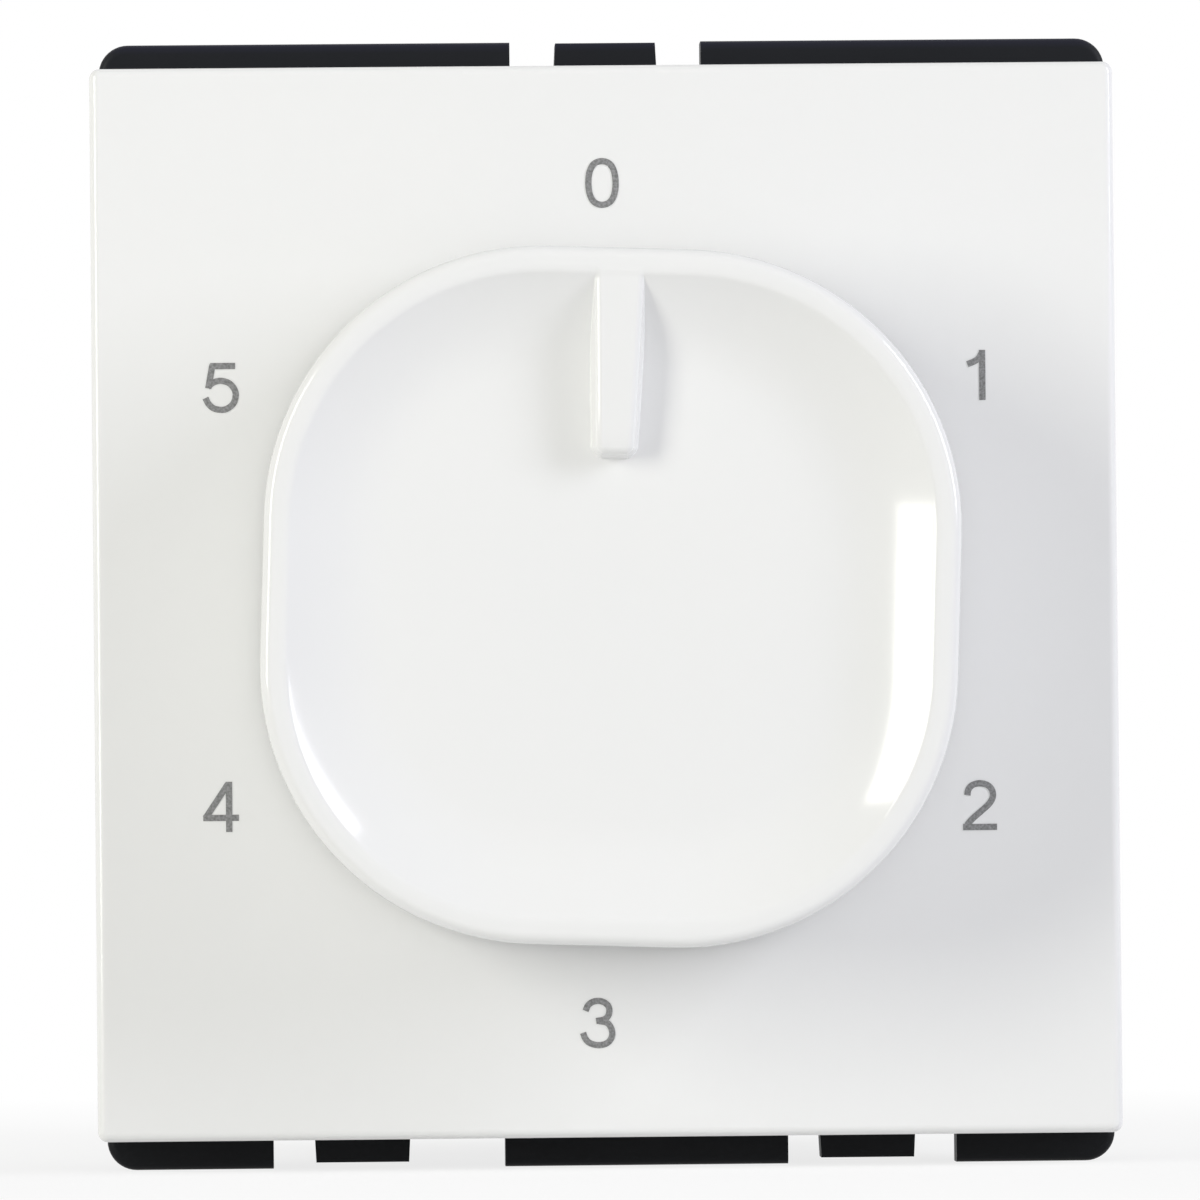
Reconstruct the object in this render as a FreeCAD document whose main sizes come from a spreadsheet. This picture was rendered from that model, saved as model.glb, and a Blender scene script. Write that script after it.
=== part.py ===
# Fan speed control switch, two modules wide, for a wall plate.
# Frame: X to the right as seen from the front, Y into the wall, Z up towards the digit 0.
# The origin is on the knob's axis, in the plane where the carrier's flange bears on its support frame.
import FreeCAD, Part
import os
import re
import Sketcher

# Driving dimensions
# Millimetres, and degrees where the note says so. Each line is one cell of the sheet.
SIZES = [
    ("plate_wide", "45.0", "front plate, width of two modules"),
    ("plate_tall", "47.1", "front plate, height"),
    ("plate_deep", "5.0", "front plate, front face to the carrier's flange"),
    ("plate_wall", "1.8", "front plate, front wall"),
    ("plate_skirt", "1.2", "front plate, side walls"),
    ("plate_corner", "0.45", "front plate, corner radius seen from the front"),
    ("plate_edge", "0.4", "front plate, rounding of the front edge"),
    ("plate_fit", "0.1", "clearance between plate and collar"),
    ("hole_gap", "0.3", "clearance of the plate's hole round the bush"),
    ("rib_ring", "1.2", "stiffening ring behind the plate, wall"),
    ("rib_high", "1.6", "stiffening ring behind the plate, height"),
    ("flange_inset", "0.15", "carrier flange, narrower than the plate on each side"),
    ("flange_aside", "0.15", "carrier flange's middle right of the plate's middle"),
    ("tongue_aside", "0.3", "tongues and their openings right of the plate's middle"),
    ("bar_show", "1.4", "carrier's bars stand out above and below the plate by this"),
    ("flange_thick", "2.0", "carrier flange, thickness"),
    ("flange_corner", "1.3", "carrier flange, corner radius"),
    ("flange_edge", "0.35", "carrier flange, rounding of the front edge"),
    ("collar_high", "2.8", "collar that the plate snaps over, height"),
    ("collar_wall", "1.2", "collar, wall"),
    ("bead_size", "0.3", "snap bead on the collar, radius"),
    ("bead_long", "12.0", "snap bead, length"),
    ("skirt_wall", "1.0", "carrier skirt round the housing, wall"),
    ("skirt_deep", "6.0", "carrier skirt, depth behind the flange"),
    ("tongue_slit", "0.8", "slit beside a tongue in the skirt"),
    ("tongue_root", "1.2", "skirt left whole behind a tongue"),
    ("tongue_taper", "0.16", "narrowing of a tongue towards its tip, each side"),
    ("tongue_slot", "0.8", "slot that frees a tongue from the web"),
    ("gate_clear", "0.25", "gap in the collar at a tongue reaches past the collar's wall by this"),
    ("top_tongue", "4.75", "top tongue, width"),
    ("top_opening", "8.5", "opening round the top tongue, width"),
    ("top_short", "0.06", "top tongue's tip below the bars' edge"),
    ("foot_tongue", "4.43", "lower tongues, width"),
    ("foot_pitch", "22.4", "lower tongues, centre to centre"),
    ("foot_outer", "15.15", "lower corner bars' inner ends from the axis"),
    ("foot_left", "4.87", "centre bar's left end from the axis"),
    ("foot_right", "7.67", "centre bar's right end from the axis"),
    ("foot_short", "0.26", "lower tongues' tips above the bars' edge"),
    ("barb_from", "2.2", "snap barb, distance behind the flange: the support frame's thickness"),
    ("barb_deep", "2.4", "snap barb, length of its slope"),
    ("barb_high", "0.9", "snap barb, height"),
    ("housing_tall", "43.0", "rear housing, height"),
    ("housing_deep", "33.0", "rear housing, depth behind the flange"),
    ("housing_wall", "1.6", "rear housing, wall"),
    ("housing_corner", "2.4", "rear housing, corner radius"),
    ("housing_edge", "0.8", "rear housing, rounding of the back edge"),
    ("housing_fit", "0.1", "clearance between housing and skirt"),
    ("post_size", "2.3", "carrier's screw posts, radius"),
    ("post_deep", "8.0", "carrier's screw posts, length behind the flange"),
    ("tube_gap", "0.1", "clearance between the screw tubes and the switch"),
    ("pilot_deep", "8.8", "pilot hole, depth from the post's end"),
    ("tube_wall", "0.6", "housing's screw tubes, wall"),
    ("tube_sink", "0.1", "housing's screw tubes, overlap with its side wall"),
    ("tube_floor", "2.0", "housing's screw tubes, floor under the screw head"),
    ("screw_size", "1.05", "housing screws, radius"),
    ("screw_gap", "0.25", "clearance of a housing screw in its tube's floor"),
    ("screw_head", "2.0", "housing screws, head radius"),
    ("screw_head_high", "1.4", "housing screws, head height"),
    ("screw_head_gap", "0.2", "clearance of a screw head in its tube"),
    ("screw_long", "9.4", "housing screws, length under the head"),
    ("recess_deep", "0.8", "recess in a screw head, depth"),
    ("recess_wide", "0.6", "recess in a screw head, width of each arm"),
    ("cover_side", "26.6", "rotary switch, side of its square body"),
    ("cover_corner", "3.0", "rotary switch, corner radius"),
    ("cover_wall", "1.6", "rotary switch, front wall"),
    ("cover_deep", "7.8", "rotary switch cover, depth"),
    ("chamber_wall", "1.9", "rotary switch, wall round its chamber where it is thinnest"),
    ("bush_size", "4.9", "bush, outer radius"),
    ("bush_long", "6.8", "bush, length in front of the flange's back"),
    ("bush_fit", "0.1", "clearance of the bush in the carrier"),
    ("peg_size", "1.0", "locating pegs, radius"),
    ("peg_long", "1.5", "locating pegs, length"),
    ("peg_in", "2.3", "locating pegs from the switch's sides, across and up"),
    ("peg_fit", "0.05", "clearance round a peg"),
    ("spindle_size", "3.0", "spindle, radius"),
    ("spindle_flat", "2.0", "spindle, distance of its flat from the axis"),
    ("running_gap", "0.05", "radial running clearance of the spindle"),
    ("spin_gap", "0.1", "end clearance of the spindle"),
    ("lug_thick", "1.5", "end-stop lug and its collar, thickness"),
    ("lug_collar", "4.5", "thrust collar, radius"),
    ("lug_out", "8.9", "end-stop lug, outer radius"),
    ("lug_half", "9.0", "end-stop lug, half of its angle, degrees"),
    ("stop_high", "1.3", "stop rib, height"),
    ("stop_in", "6.0", "stop rib, inner radius"),
    ("stop_play", "0.4", "play at each end stop, degrees"),
    ("step_angle", "60.0", "turn from one digit to the next, degrees"),
    ("wheel_size", "8.0", "detent wheel, radius"),
    ("wheel_thick", "2.2", "detent wheel, thickness"),
    ("leaf_at", "8.3", "detent leaf's inner face from the axis"),
    ("leaf_thick", "0.4", "detent leaf, thickness"),
    ("leaf_end", "0.05", "clearance of the detent leaf's corners in the chamber"),
    ("leaf_wide", "2.0", "detent leaf, width along the axis"),
    ("leaf_seat", "0.9", "seats that hold the leaf's ends, thickness"),
    ("nose_size", "1.3", "detent leaf's nose, radius"),
    ("nose_fit", "0.05", "clearance of the nose in its notch"),
    ("disc_size", "7.0", "contact disc on the spindle, radius"),
    ("disc_thick", "1.2", "contact disc, thickness"),
    ("pivot_size", "1.5", "spindle's rear pivot, radius"),
    ("pivot_long", "3.2", "spindle's rear pivot, length behind the contact disc"),
    ("strip_thick", "0.4", "moving contact, thickness"),
    ("strip_wide", "2.4", "moving contact, width of its arm"),
    ("dimple_size", "0.8", "moving contact, radius of its dimples"),
    ("rivet_size", "0.6", "spindle's rivets that hold the moving contact, radius"),
    ("touch_gap", "0.02", "gap left between faces that touch"),
    ("contact_at", "8.5", "fixed contacts from the axis"),
    ("contact_size", "1.4", "fixed contacts, radius of the head"),
    ("contact_thick", "0.6", "fixed contacts, thickness of the head"),
    ("contact_proud", "0.1", "contacts stand out of the base by this"),
    ("contact_fit", "0.05", "clearance round a contact in the base"),
    ("ring_in", "2.4", "common contact, inner radius"),
    ("ring_out", "5.0", "common contact, outer radius"),
    ("pin_size", "0.55", "contact pins, radius"),
    ("pin_proud", "0.6", "contact pins stand out of the board by this"),
    ("solder_gap", "0.12", "clearance of pins and leads in the board"),
    ("base_thick", "2.6", "switch base, thickness"),
    ("base_feet", "0.6", "feet of the base on the board, height"),
    ("board_fit", "0.5", "clearance of the circuit board in the housing"),
    ("board_thick", "1.6", "circuit board, thickness"),
    ("board_corner", "1.0", "circuit board, corner radius"),
    ("board_gap", "0.3", "board's notches clear the screw tubes by this"),
    ("corner_rib", "2.6", "housing's corner ribs that press on the board, side"),
    ("bar_wide", "4.2", "terminal bars, width"),
    ("bar_thick", "1.2", "terminal bars, thickness"),
    ("bar_over", "0.3", "terminal bars stand out of the cage towards the wire"),
    ("bar_leg", "1.2", "gap between the cage and the bar's leg"),
    ("bar_bend", "1.5", "terminal bars, outer radius of the bend"),
    ("bar_fit", "0.1", "clearance round a terminal bar"),
    ("tail_proud", "0.3", "bars and leads stand out of the board's front by this"),
    ("cage_wide", "7.0", "terminal cages, width"),
    ("cage_side", "1.0", "terminal cages, side walls"),
    ("cage_floor", "1.2", "terminal cages, clamping wall"),
    ("cage_head", "2.6", "terminal cages, threaded wall"),
    ("cage_window", "5.2", "terminal cages, window along the screw"),
    ("cage_long", "6.0", "terminal cages, length along the wire"),
    ("cage_lift", "0.6", "terminal cages off the board when open"),
    ("cage_travel", "3.0", "terminal cages, travel"),
    ("terminal_at", "8.5", "terminals from the middle, across"),
    ("terminal_room", "5.9", "terminals' middles from the housing's lower wall"),
    ("clamp_size", "1.7", "terminal screws, radius"),
    ("clamp_fit", "0.05", "clearance of a terminal screw in its cage"),
    ("clamp_head", "2.9", "terminal screws, head radius"),
    ("clamp_head_high", "2.2", "terminal screws, head height"),
    ("clamp_slot", "0.8", "terminal screws, slot width"),
    ("well_fit", "0.15", "clearance of a terminal screw's head in its well"),
    ("well_wall", "0.95", "screwdriver wells, wall"),
    ("well_lip", "2.5", "screwdriver wells, radius of the opening"),
    ("well_play", "0.5", "end play of a terminal screw's head"),
    ("wire_size", "1.9", "wire entries, radius"),
    ("wire_funnel", "1.0", "wire entries, wall of the funnel"),
    ("wire_gap", "0.6", "funnels end this far from the cages"),
    ("film_side", "0.6", "gap between the capacitors and the screw tubes"),
    ("film_large", "9.0", "large capacitor, thickness"),
    ("film_large_tall", "14.5", "large capacitor, height over the board"),
    ("film_small", "7.4", "small capacitor, thickness"),
    ("film_small_tall", "13.0", "small capacitor, height over the board"),
    ("film_room", "1.8", "gap between the large capacitor and the terminal bars"),
    ("film_apart", "0.5", "gap between the capacitors"),
    ("film_edge", "0.6", "capacitors, rounding"),
    ("film_feet", "1.0", "capacitors, height of their feet"),
    ("film_foot", "1.2", "capacitors, width of their feet"),
    ("film_lead_in", "1.55", "capacitors' leads from their ends"),
    ("lead_size", "0.4", "leads, radius"),
    ("resistor_size", "1.5", "resistors, radius"),
    ("resistor_long", "8.4", "resistors, body length"),
    ("resistor_leads", "12.0", "resistors, lead pitch"),
    ("resistor_lift", "0.6", "resistors, height over the board"),
    ("resistor_side", "7.4", "resistors' middles from the middle, across"),
    ("resistor_room", "1.4", "gap between the small capacitor and the lower pair of resistors"),
    ("resistor_pitch", "4.2", "upper pair of resistors above the lower pair"),
    ("knob_gap", "0.5", "gap between knob and plate"),
    ("knob_deep", "8.5", "knob, depth"),
    ("knob_flats", "30.2", "knob, width across its flats"),
    ("knob_corner", "12.0", "knob, radius of its round corners"),
    ("knob_draft", "1.5", "knob, draft of its side, degrees"),
    ("knob_lean", "2.0", "knob's pointer clockwise of the digit 0, degrees"),
    ("rim_wide", "1.15", "knob's rim round the dish, width"),
    ("rim_out", "0.4", "knob's rim, outer rounding"),
    ("rim_in", "0.2", "knob's rim, inner rounding"),
    ("dish_deep", "1.7", "dish in the knob's face, depth"),
    ("dish_slope", "31.0", "dish, slope of its wall, degrees"),
    ("dish_round", "5.0", "dish, rounding between wall and floor"),
    ("dish_floor", "2.1", "knob, thickness under the dish"),
    ("knob_wall", "2.0", "knob, side wall"),
    ("pointer_wide", "2.2", "pointer rib, width"),
    ("pointer_end", "5.85", "pointer rib's inner end from the axis"),
    ("pointer_edge", "0.25", "pointer rib, rounding of its top"),
    ("pointer_corner", "0.55", "pointer rib, rounding of its inner end seen from the front"),
    ("pointer_draft", "8.0", "pointer rib, draft of its sides, degrees"),
    ("pointer_low", "0.05", "pointer rib's top below the rim"),
    ("hub_size", "5.0", "knob's hub, outer radius"),
    ("hub_gap", "0.3", "hub ends this far in front of the plate"),
    ("web_thick", "1.2", "ribs between hub and wall, thickness"),
    ("web_high", "3.2", "ribs between hub and wall, height"),
    ("bore_fit", "0.03", "clearance of the spindle in the knob's bore"),
    ("bore_gap", "0.2", "spindle ends this far from the bore's floor"),
    ("clip_thick", "0.25", "clip in the hub, thickness"),
    ("clip_wide", "3.0", "clip, width"),
    ("clip_long", "3.6", "clip, length along the axis"),
    ("clip_bow", "0.25", "clip, rise of its bow"),
]

doc = FreeCAD.newDocument("fan_speed_switch")
sheet = doc.addObject("Spreadsheet::Sheet", "Sizes")
for row, (alias, number, note) in enumerate(SIZES, start=1):
    sheet.set(f"A{row}", note)
    sheet.set(f"B{row}", number)
    sheet.setAlias(f"B{row}", alias)
doc.recompute()


# Stations along the axis, from the front to the back, as sums of the sizes above
PLATE_FRONT = "(-flange_thick-plate_deep)"
PLATE_BACK = "(-flange_thick)"
PLATE_INSIDE = f"({PLATE_FRONT}+plate_wall)"
KNOB_BACK = f"({PLATE_FRONT}-knob_gap)"
KNOB_FRONT = f"({KNOB_BACK}-knob_deep)"
DISH_FLOOR = f"({KNOB_FRONT}+dish_deep)"
KNOB_INSIDE = f"({DISH_FLOOR}+dish_floor)"
HUB_END = f"({PLATE_FRONT}-hub_gap)"
SPINDLE_TIP = f"({KNOB_INSIDE}+bore_gap)"
BUSH_TIP = "(-bush_long)"
LUG_FRONT = "(cover_wall+spin_gap)"
WHEEL_FRONT = f"({LUG_FRONT}+lug_thick)"
DISC_FRONT = f"({WHEEL_FRONT}+wheel_thick)"
STRIP_FRONT = f"({DISC_FRONT}+disc_thick)"
STRIP_BACK = f"({STRIP_FRONT}+strip_thick)"
PIVOT_TIP = f"({STRIP_FRONT}+pivot_long)"
CONTACT_FACE = "(cover_deep-contact_proud)"
CONTACT_BACK = f"({CONTACT_FACE}+contact_thick)"
BASE_BACK = "(cover_deep+base_thick)"
BOARD_FRONT = f"({BASE_BACK}+base_feet)"
BOARD_BACK = f"({BOARD_FRONT}+board_thick)"
PIN_TIP = f"({BOARD_BACK}+pin_proud)"
HOUSING_INSIDE = "(housing_deep-housing_wall)"
HEAD_SEAT = "(post_deep+tube_floor)"
CAGE_FRONT = f"({BOARD_BACK}+cage_lift)"
WINDOW_FRONT = f"({CAGE_FRONT}+cage_floor)"
WINDOW_BACK = f"({WINDOW_FRONT}+cage_window)"
CAGE_BACK = f"({WINDOW_BACK}+cage_head)"
BAR_BACK = f"({WINDOW_BACK}-bar_fit)"
BAR_FRONT = f"({BAR_BACK}-bar_thick)"
CLAMP_TIP = f"({BAR_BACK}+touch_gap)"
CLAMP_HEAD = f"({CAGE_BACK}+cage_travel+2*bar_fit)"
CLAMP_TOP = f"({CLAMP_HEAD}+clamp_head_high)"
WIRE_AT = f"(({WINDOW_FRONT}+{BAR_FRONT})/2)"

# Places across and up, also sums of the sizes above
CARRIER_WIDE = "(plate_wide-2*flange_inset)"
CARRIER_TALL = "(plate_tall+2*bar_show)"
TUBE_IN = "(screw_head+screw_head_gap)"
TUBE_OUT = f"({TUBE_IN}+tube_wall)"
POST_AT = f"(cover_side/2+tube_gap+{TUBE_OUT})"
INSIDE_WIDE = f"(2*({POST_AT}+{TUBE_OUT}-tube_sink))"
INSIDE_TALL = "(housing_tall-2*housing_wall)"
HOUSING_WIDE = f"({INSIDE_WIDE}+2*housing_wall)"
CHAMBER = "(cover_side/2-chamber_wall)"
PEG_AT = "(cover_side/2-peg_in)"
TERMINAL_LOW = f"({INSIDE_TALL}/2-terminal_room)"
BAR_LEG_IN = "(cage_long/2+bar_leg)"
BAR_LEG_OUT = f"({BAR_LEG_IN}+bar_thick)"
FILM_WIDE = f"(2*({POST_AT}-{TUBE_OUT}-film_side))"
FILM_LOW = f"({TERMINAL_LOW}-{BAR_LEG_OUT}-film_room)"


# Helpers that turn size names into bound sketches and features
def on_sheet(text):
    """The expression with each size name pointed at its cell."""
    return re.sub(r"\b[a-z]+(?:_[a-z]+)+\b", r"Sizes.\g<0>", text)


def number(text):
    """What an expression is worth now, in millimetres or degrees."""
    return float(sheet.evalExpression(on_sheet(text)))


def new_body(label):
    """An empty body with its own label, which also names its file."""
    body = doc.addObject("PartDesign::Body", label)
    body.Label = label
    return body


def origin_feature(body, role):
    """The body's own origin plane or axis of that role."""
    return next(item for item in body.Origin.OriginFeatures if item.Role == role)


def polar(radius, angle):
    """A point at a radius and an angle clockwise from up, as two expressions."""
    return (f"({radius})*sin({angle})", f"({radius})*cos({angle})")


def box(x0, y0, x1, y1):
    """A rectangle's corners."""
    return [(x0, y0), (x1, y0), (x1, y1), (x0, y1)]


def middle_box(wide, tall):
    """A rectangle about the sketch's origin."""
    return box(f"-({wide})/2", f"-({tall})/2", f"({wide})/2", f"({tall})/2")


def soft_box(wide, tall, corner):
    """A rectangle about the sketch's origin with round corners."""
    x, y, r = f"({wide})/2", f"({tall})/2", corner
    return [
        (f"-{x}+{r}", f"-{y}"),
        (f"{x}-{r}", f"-{y}", r),
        (x, f"-{y}+{r}"),
        (x, f"{y}-{r}", r),
        (f"{x}-{r}", y),
        (f"-{x}+{r}", y, r),
        (f"-{x}", f"{y}-{r}"),
        (f"-{x}", f"-{y}+{r}", r),
    ]


def aside(points, shift):
    """A loop moved across by shift."""
    return [(f"{shift}+{point[0]}", *point[1:]) for point in points]


def draw_circle(sketch, x, y, radius):
    """A circle held by its centre and radius."""
    centre = FreeCAD.Vector(number(x), number(y), 0)
    item = sketch.addGeometry(Part.Circle(centre, FreeCAD.Vector(0, 0, 1), number(radius)))
    hold_point(sketch, item, 3, x, y)
    hold(sketch, Sketcher.Constraint("Radius", item, number(radius)), radius)


def hold(sketch, constraint, text):
    """Adds a constraint and binds it to the sheet."""
    index = sketch.addConstraint(constraint)
    sketch.setExpression(f"Constraints[{index}]", on_sheet(f"0+{text}"))


def hold_point(sketch, item, end, x, y):
    """Fixes a point of the sketch at two expressions from its origin."""
    hold(sketch, Sketcher.Constraint("DistanceX", -1, 1, item, end, number(x)), x)
    hold(sketch, Sketcher.Constraint("DistanceY", -1, 1, item, end, number(y)), y)


def arc_between(start, end, radius, turn):
    """The short arc from start to end that turns left (1) or right (-1)."""
    chord = end - start
    rise = max(radius * radius - chord.Length * chord.Length / 4, 0.0) ** 0.5
    side = FreeCAD.Vector(-chord.y, chord.x, 0).normalize() * turn
    centre = (start + end) / 2 + side * rise
    middle = centre - side * radius
    return Part.Arc(start, middle, end)


def draw_loop(sketch, points):
    """A closed loop. A point with a third item starts an arc of that radius, a fourth gives its turn."""
    spots = [FreeCAD.Vector(number(p[0]), number(p[1]), 0) for p in points]
    items = []
    ends = []
    for index, point in enumerate(points):
        start = spots[index]
        end = spots[(index + 1) % len(spots)]
        if len(point) == 2:
            items.append(sketch.addGeometry(Part.LineSegment(start, end)))
            ends.append((1, 2))
            continue
        turn = -1 if "right" in point[3:] else 1
        items.append(sketch.addGeometry(arc_between(start, end, number(point[2]), turn)))
        ends.append((1, 2) if turn == 1 else (2, 1))
    for index, point in enumerate(points):
        before = index - 1
        joint = Sketcher.Constraint(
            "Coincident", items[before], ends[before][1], items[index], ends[index][0]
        )
        sketch.addConstraint(joint)
        hold_point(sketch, items[index], ends[index][0], point[0], point[1])
        if len(point) > 2:
            hold(sketch, Sketcher.Constraint("Radius", items[index], number(point[2])), point[2])


def new_sketch(body, name, role, offset, loops, turn=None):
    """A sketch on one of the body's origin planes, moved along its normal, holding the loops."""
    sketch = body.newObject("Sketcher::SketchObject", name)
    sketch.AttachmentSupport = [(origin_feature(body, role), "")]
    sketch.MapMode = "FlatFace"
    sign = "-" if role == "XZ_Plane" else ""
    sketch.setExpression("AttachmentOffset.Base.z", on_sheet(f"{sign}({offset})"))
    if turn:
        sketch.setExpression("AttachmentOffset.Rotation.Angle", on_sheet(turn))
    for loop in loops:
        if isinstance(loop, tuple):
            draw_circle(sketch, *loop)
        else:
            draw_loop(sketch, loop)
    return sketch


def volume_of(body):
    """The body's volume now, or nothing yet."""
    return body.Shape.Volume if body.Tip else 0.0


def settle(body, before, grows):
    """Recomputes and makes sure that the last feature added or took material."""
    doc.recompute()
    change = volume_of(body) - before
    if (change > 0) != grows:
        raise RuntimeError(f"{body.Label}: {body.Tip.Name} changed the volume by {change:.3f}")


def extrude(body, name, loops, start, end, role="XZ_Plane", cut=False, turn=None):
    """Adds or cuts the loops from start to end along the plane's world axis."""
    before = volume_of(body)
    sketch = new_sketch(body, f"{name}_sketch", role, start, loops, turn)
    feature = body.newObject("PartDesign::Pocket" if cut else "PartDesign::Pad", name)
    feature.Profile = sketch
    feature.Reversed = (role == "XZ_Plane") != cut
    feature.setExpression("Length", on_sheet(f"({end})-({start})"))
    settle(body, before, not cut)
    return feature


def grow_forward(body, name, loops, back, front, draft):
    """A pad from a sketch at the back towards the front, so that its draft narrows it forwards."""
    before = volume_of(body)
    sketch = new_sketch(body, f"{name}_sketch", "XZ_Plane", back, loops)
    feature = body.newObject("PartDesign::Pad", name)
    feature.Profile = sketch
    feature.setExpression("Length", on_sheet(f"({back})-({front})"))
    feature.setExpression("TaperAngle", on_sheet(draft))
    settle(body, before, True)
    return feature


def turned(body, name, points):
    """A solid of revolution about the body's Y axis, from radius and station pairs."""
    sketch = new_sketch(body, f"{name}_sketch", "XY_Plane", "0", [points])
    feature = body.newObject("PartDesign::Revolution", name)
    feature.Profile = sketch
    feature.ReferenceAxis = (sketch, ["V_Axis"])
    feature.Angle = 360
    settle(body, 0.0, True)
    return feature


def around(body, name, original, count):
    """Repeats a feature evenly about the body's Y axis."""
    pattern = body.newObject("PartDesign::PolarPattern", name)
    pattern.Originals = [original]
    pattern.Axis = (origin_feature(body, "Y_Axis"), [""])
    pattern.Angle = 360
    pattern.Occurrences = count
    body.Tip = pattern
    doc.recompute()
    return pattern


def flat_at(edge, axis, text):
    """Whether an edge lies wholly at one station of an axis."""
    bounds = edge.BoundBox
    low = getattr(bounds, f"{axis}Min")
    high = getattr(bounds, f"{axis}Max")
    place = number(text)
    return abs(low - place) < 0.002 and abs(high - place) < 0.002


def reach(edge):
    """How far an edge gets from the Y axis across or up, whichever is more."""
    bounds = edge.BoundBox
    return max(abs(bounds.XMin), abs(bounds.XMax), abs(bounds.ZMin), abs(bounds.ZMax))


def at_rim(edge):
    """Whether an edge runs straight across where it is furthest up, as at the knob's rim."""
    bounds = edge.BoundBox
    return bounds.ZLength < 0.01 and bounds.ZMin > number("knob_flats/4")


def soften(body, name, radius, wanted):
    """Rounds the edges of the body that the test picks."""
    base = body.Tip
    names = [f"Edge{i}" for i, edge in enumerate(base.Shape.Edges, start=1) if wanted(edge)]
    feature = body.newObject("PartDesign::Fillet", name)
    feature.Base = (base, names)
    feature.setExpression("Radius", on_sheet(radius))
    doc.recompute()
    return feature


def place(body, x="0", z="0"):
    """Moves a body that was built about its own axis."""
    body.setExpression("Placement.Base.x", on_sheet(f"0+{x}"))
    body.setExpression("Placement.Base.z", on_sheet(f"0+{z}"))


# Knob
# One moulding: a squircle with draft, a dish in its face, the pointer rib, and a hub with ribs behind.
def squircle(inset):
    """The knob's outline, moved inwards: a square with large round corners."""
    side = f"(knob_flats-2*({inset}))"
    return soft_box(side, side, f"(knob_corner-({inset}))")


def flatted(radius, flat):
    """A circle with one flat, at the top."""
    half = f"sqrt(({radius})^2-({flat})^2)"
    return [(half, flat), (f"-{half}", flat, radius), ("0", f"-({radius})", radius)]


def pointer_outline():
    """The pointer rib at its foot, from its round inner end out to the middle of the knob's rim."""
    half = f"(pointer_wide/2+{POINTER_SPREAD})"
    inner = f"(pointer_end-{POINTER_SPREAD})"
    outer = "(knob_flats/2-rim_wide/2)"
    return [
        (f"-{half}", outer),
        (f"-{half}", f"{inner}+pointer_corner", "pointer_corner"),
        (f"-{half}+pointer_corner", inner),
        (f"{half}-pointer_corner", inner, "pointer_corner"),
        (half, f"{inner}+pointer_corner"),
        (half, outer),
    ]


POINTER_TOP = f"({KNOB_FRONT}+pointer_low)"
POINTER_FOOT = f"({DISH_FLOOR}+dish_floor/4)"
POINTER_SPREAD = f"(({POINTER_FOOT}-{POINTER_TOP})*tan(pointer_draft))"
CLIP_LOW = "(spindle_flat+touch_gap)"
CLIP_HIGH = f"({CLIP_LOW}+clip_bow+clip_thick)"
CLIP_FRONT = f"(({KNOB_INSIDE}+{HUB_END}-clip_long)/2)"
CLIP_BACK = f"({CLIP_FRONT}+clip_long)"

knob = new_body("knob")
grow_forward(knob, "shell", [squircle("0")], KNOB_BACK, KNOB_FRONT, "-knob_draft")
dish = extrude(knob, "dish", [squircle("rim_wide")], KNOB_FRONT, DISH_FLOOR, cut=True)
dish.setExpression("TaperAngle", on_sheet("dish_slope-90"))
INNER_REACH = number("knob_flats/2-rim_wide/2")
soften(knob, "rim_outside", "rim_out", lambda e: flat_at(e, "Y", KNOB_FRONT) and reach(e) > INNER_REACH)
soften(knob, "rim_inside", "rim_in", lambda e: flat_at(e, "Y", KNOB_FRONT) and reach(e) < INNER_REACH)
soften(knob, "dish_edge", "dish_round", lambda e: flat_at(e, "Y", DISH_FLOOR))
grow_forward(knob, "pointer", [pointer_outline()], POINTER_FOOT, POINTER_TOP, "-pointer_draft")
soften(knob, "pointer_top", "pointer_edge", lambda e: flat_at(e, "Y", POINTER_TOP) and not at_rim(e))
extrude(knob, "hollow", [squircle("knob_wall")], KNOB_INSIDE, KNOB_BACK, cut=True)
WEB_BACK = f"{KNOB_INSIDE}+web_high"
extrude(knob, "web_across", [middle_box("knob_flats-knob_wall", "web_thick")], KNOB_INSIDE, WEB_BACK)
extrude(knob, "web_upright", [middle_box("web_thick", "knob_flats-knob_wall")], KNOB_INSIDE, WEB_BACK)
extrude(knob, "hub", [("0", "0", "hub_size")], KNOB_INSIDE, HUB_END)
bore_loop = flatted("spindle_size+bore_fit", "spindle_flat+bore_fit")
extrude(knob, "bore", [bore_loop], KNOB_INSIDE, HUB_END, cut=True, turn="knob_lean")
clip_seat = box("-clip_wide/2-bore_fit", "0", "clip_wide/2+bore_fit", f"{CLIP_HIGH}+touch_gap")
extrude(
    knob, "clip_seat", [clip_seat], f"{CLIP_FRONT}-bore_fit", f"{CLIP_BACK}+bore_fit",
    cut=True, turn="knob_lean",
)
knob.Placement = FreeCAD.Placement(FreeCAD.Vector(), FreeCAD.Rotation(FreeCAD.Vector(0, 1, 0), 1))
knob.setExpression("Placement.Rotation.Angle", on_sheet("knob_lean*1"))


# Clip in the knob's hub
# A bowed leaf of spring steel that presses on the spindle's flat.
def bowed_strip():
    """A strip seen from its side, as a shallow arc that dips towards the spindle."""
    radius = "((clip_long^2/4+clip_bow^2)/(2*clip_bow))"
    low = f"{CLIP_LOW}+clip_bow"
    high = f"{CLIP_LOW}+clip_bow+clip_thick"
    return [
        (CLIP_FRONT, low, radius),
        (CLIP_BACK, low),
        (CLIP_BACK, high, radius, "right"),
        (CLIP_FRONT, high),
    ]


knob_clip = new_body("knob_clip")
extrude(knob_clip, "leaf", [bowed_strip()], "-clip_wide/2", "clip_wide/2", role="YZ_Plane")


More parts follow.
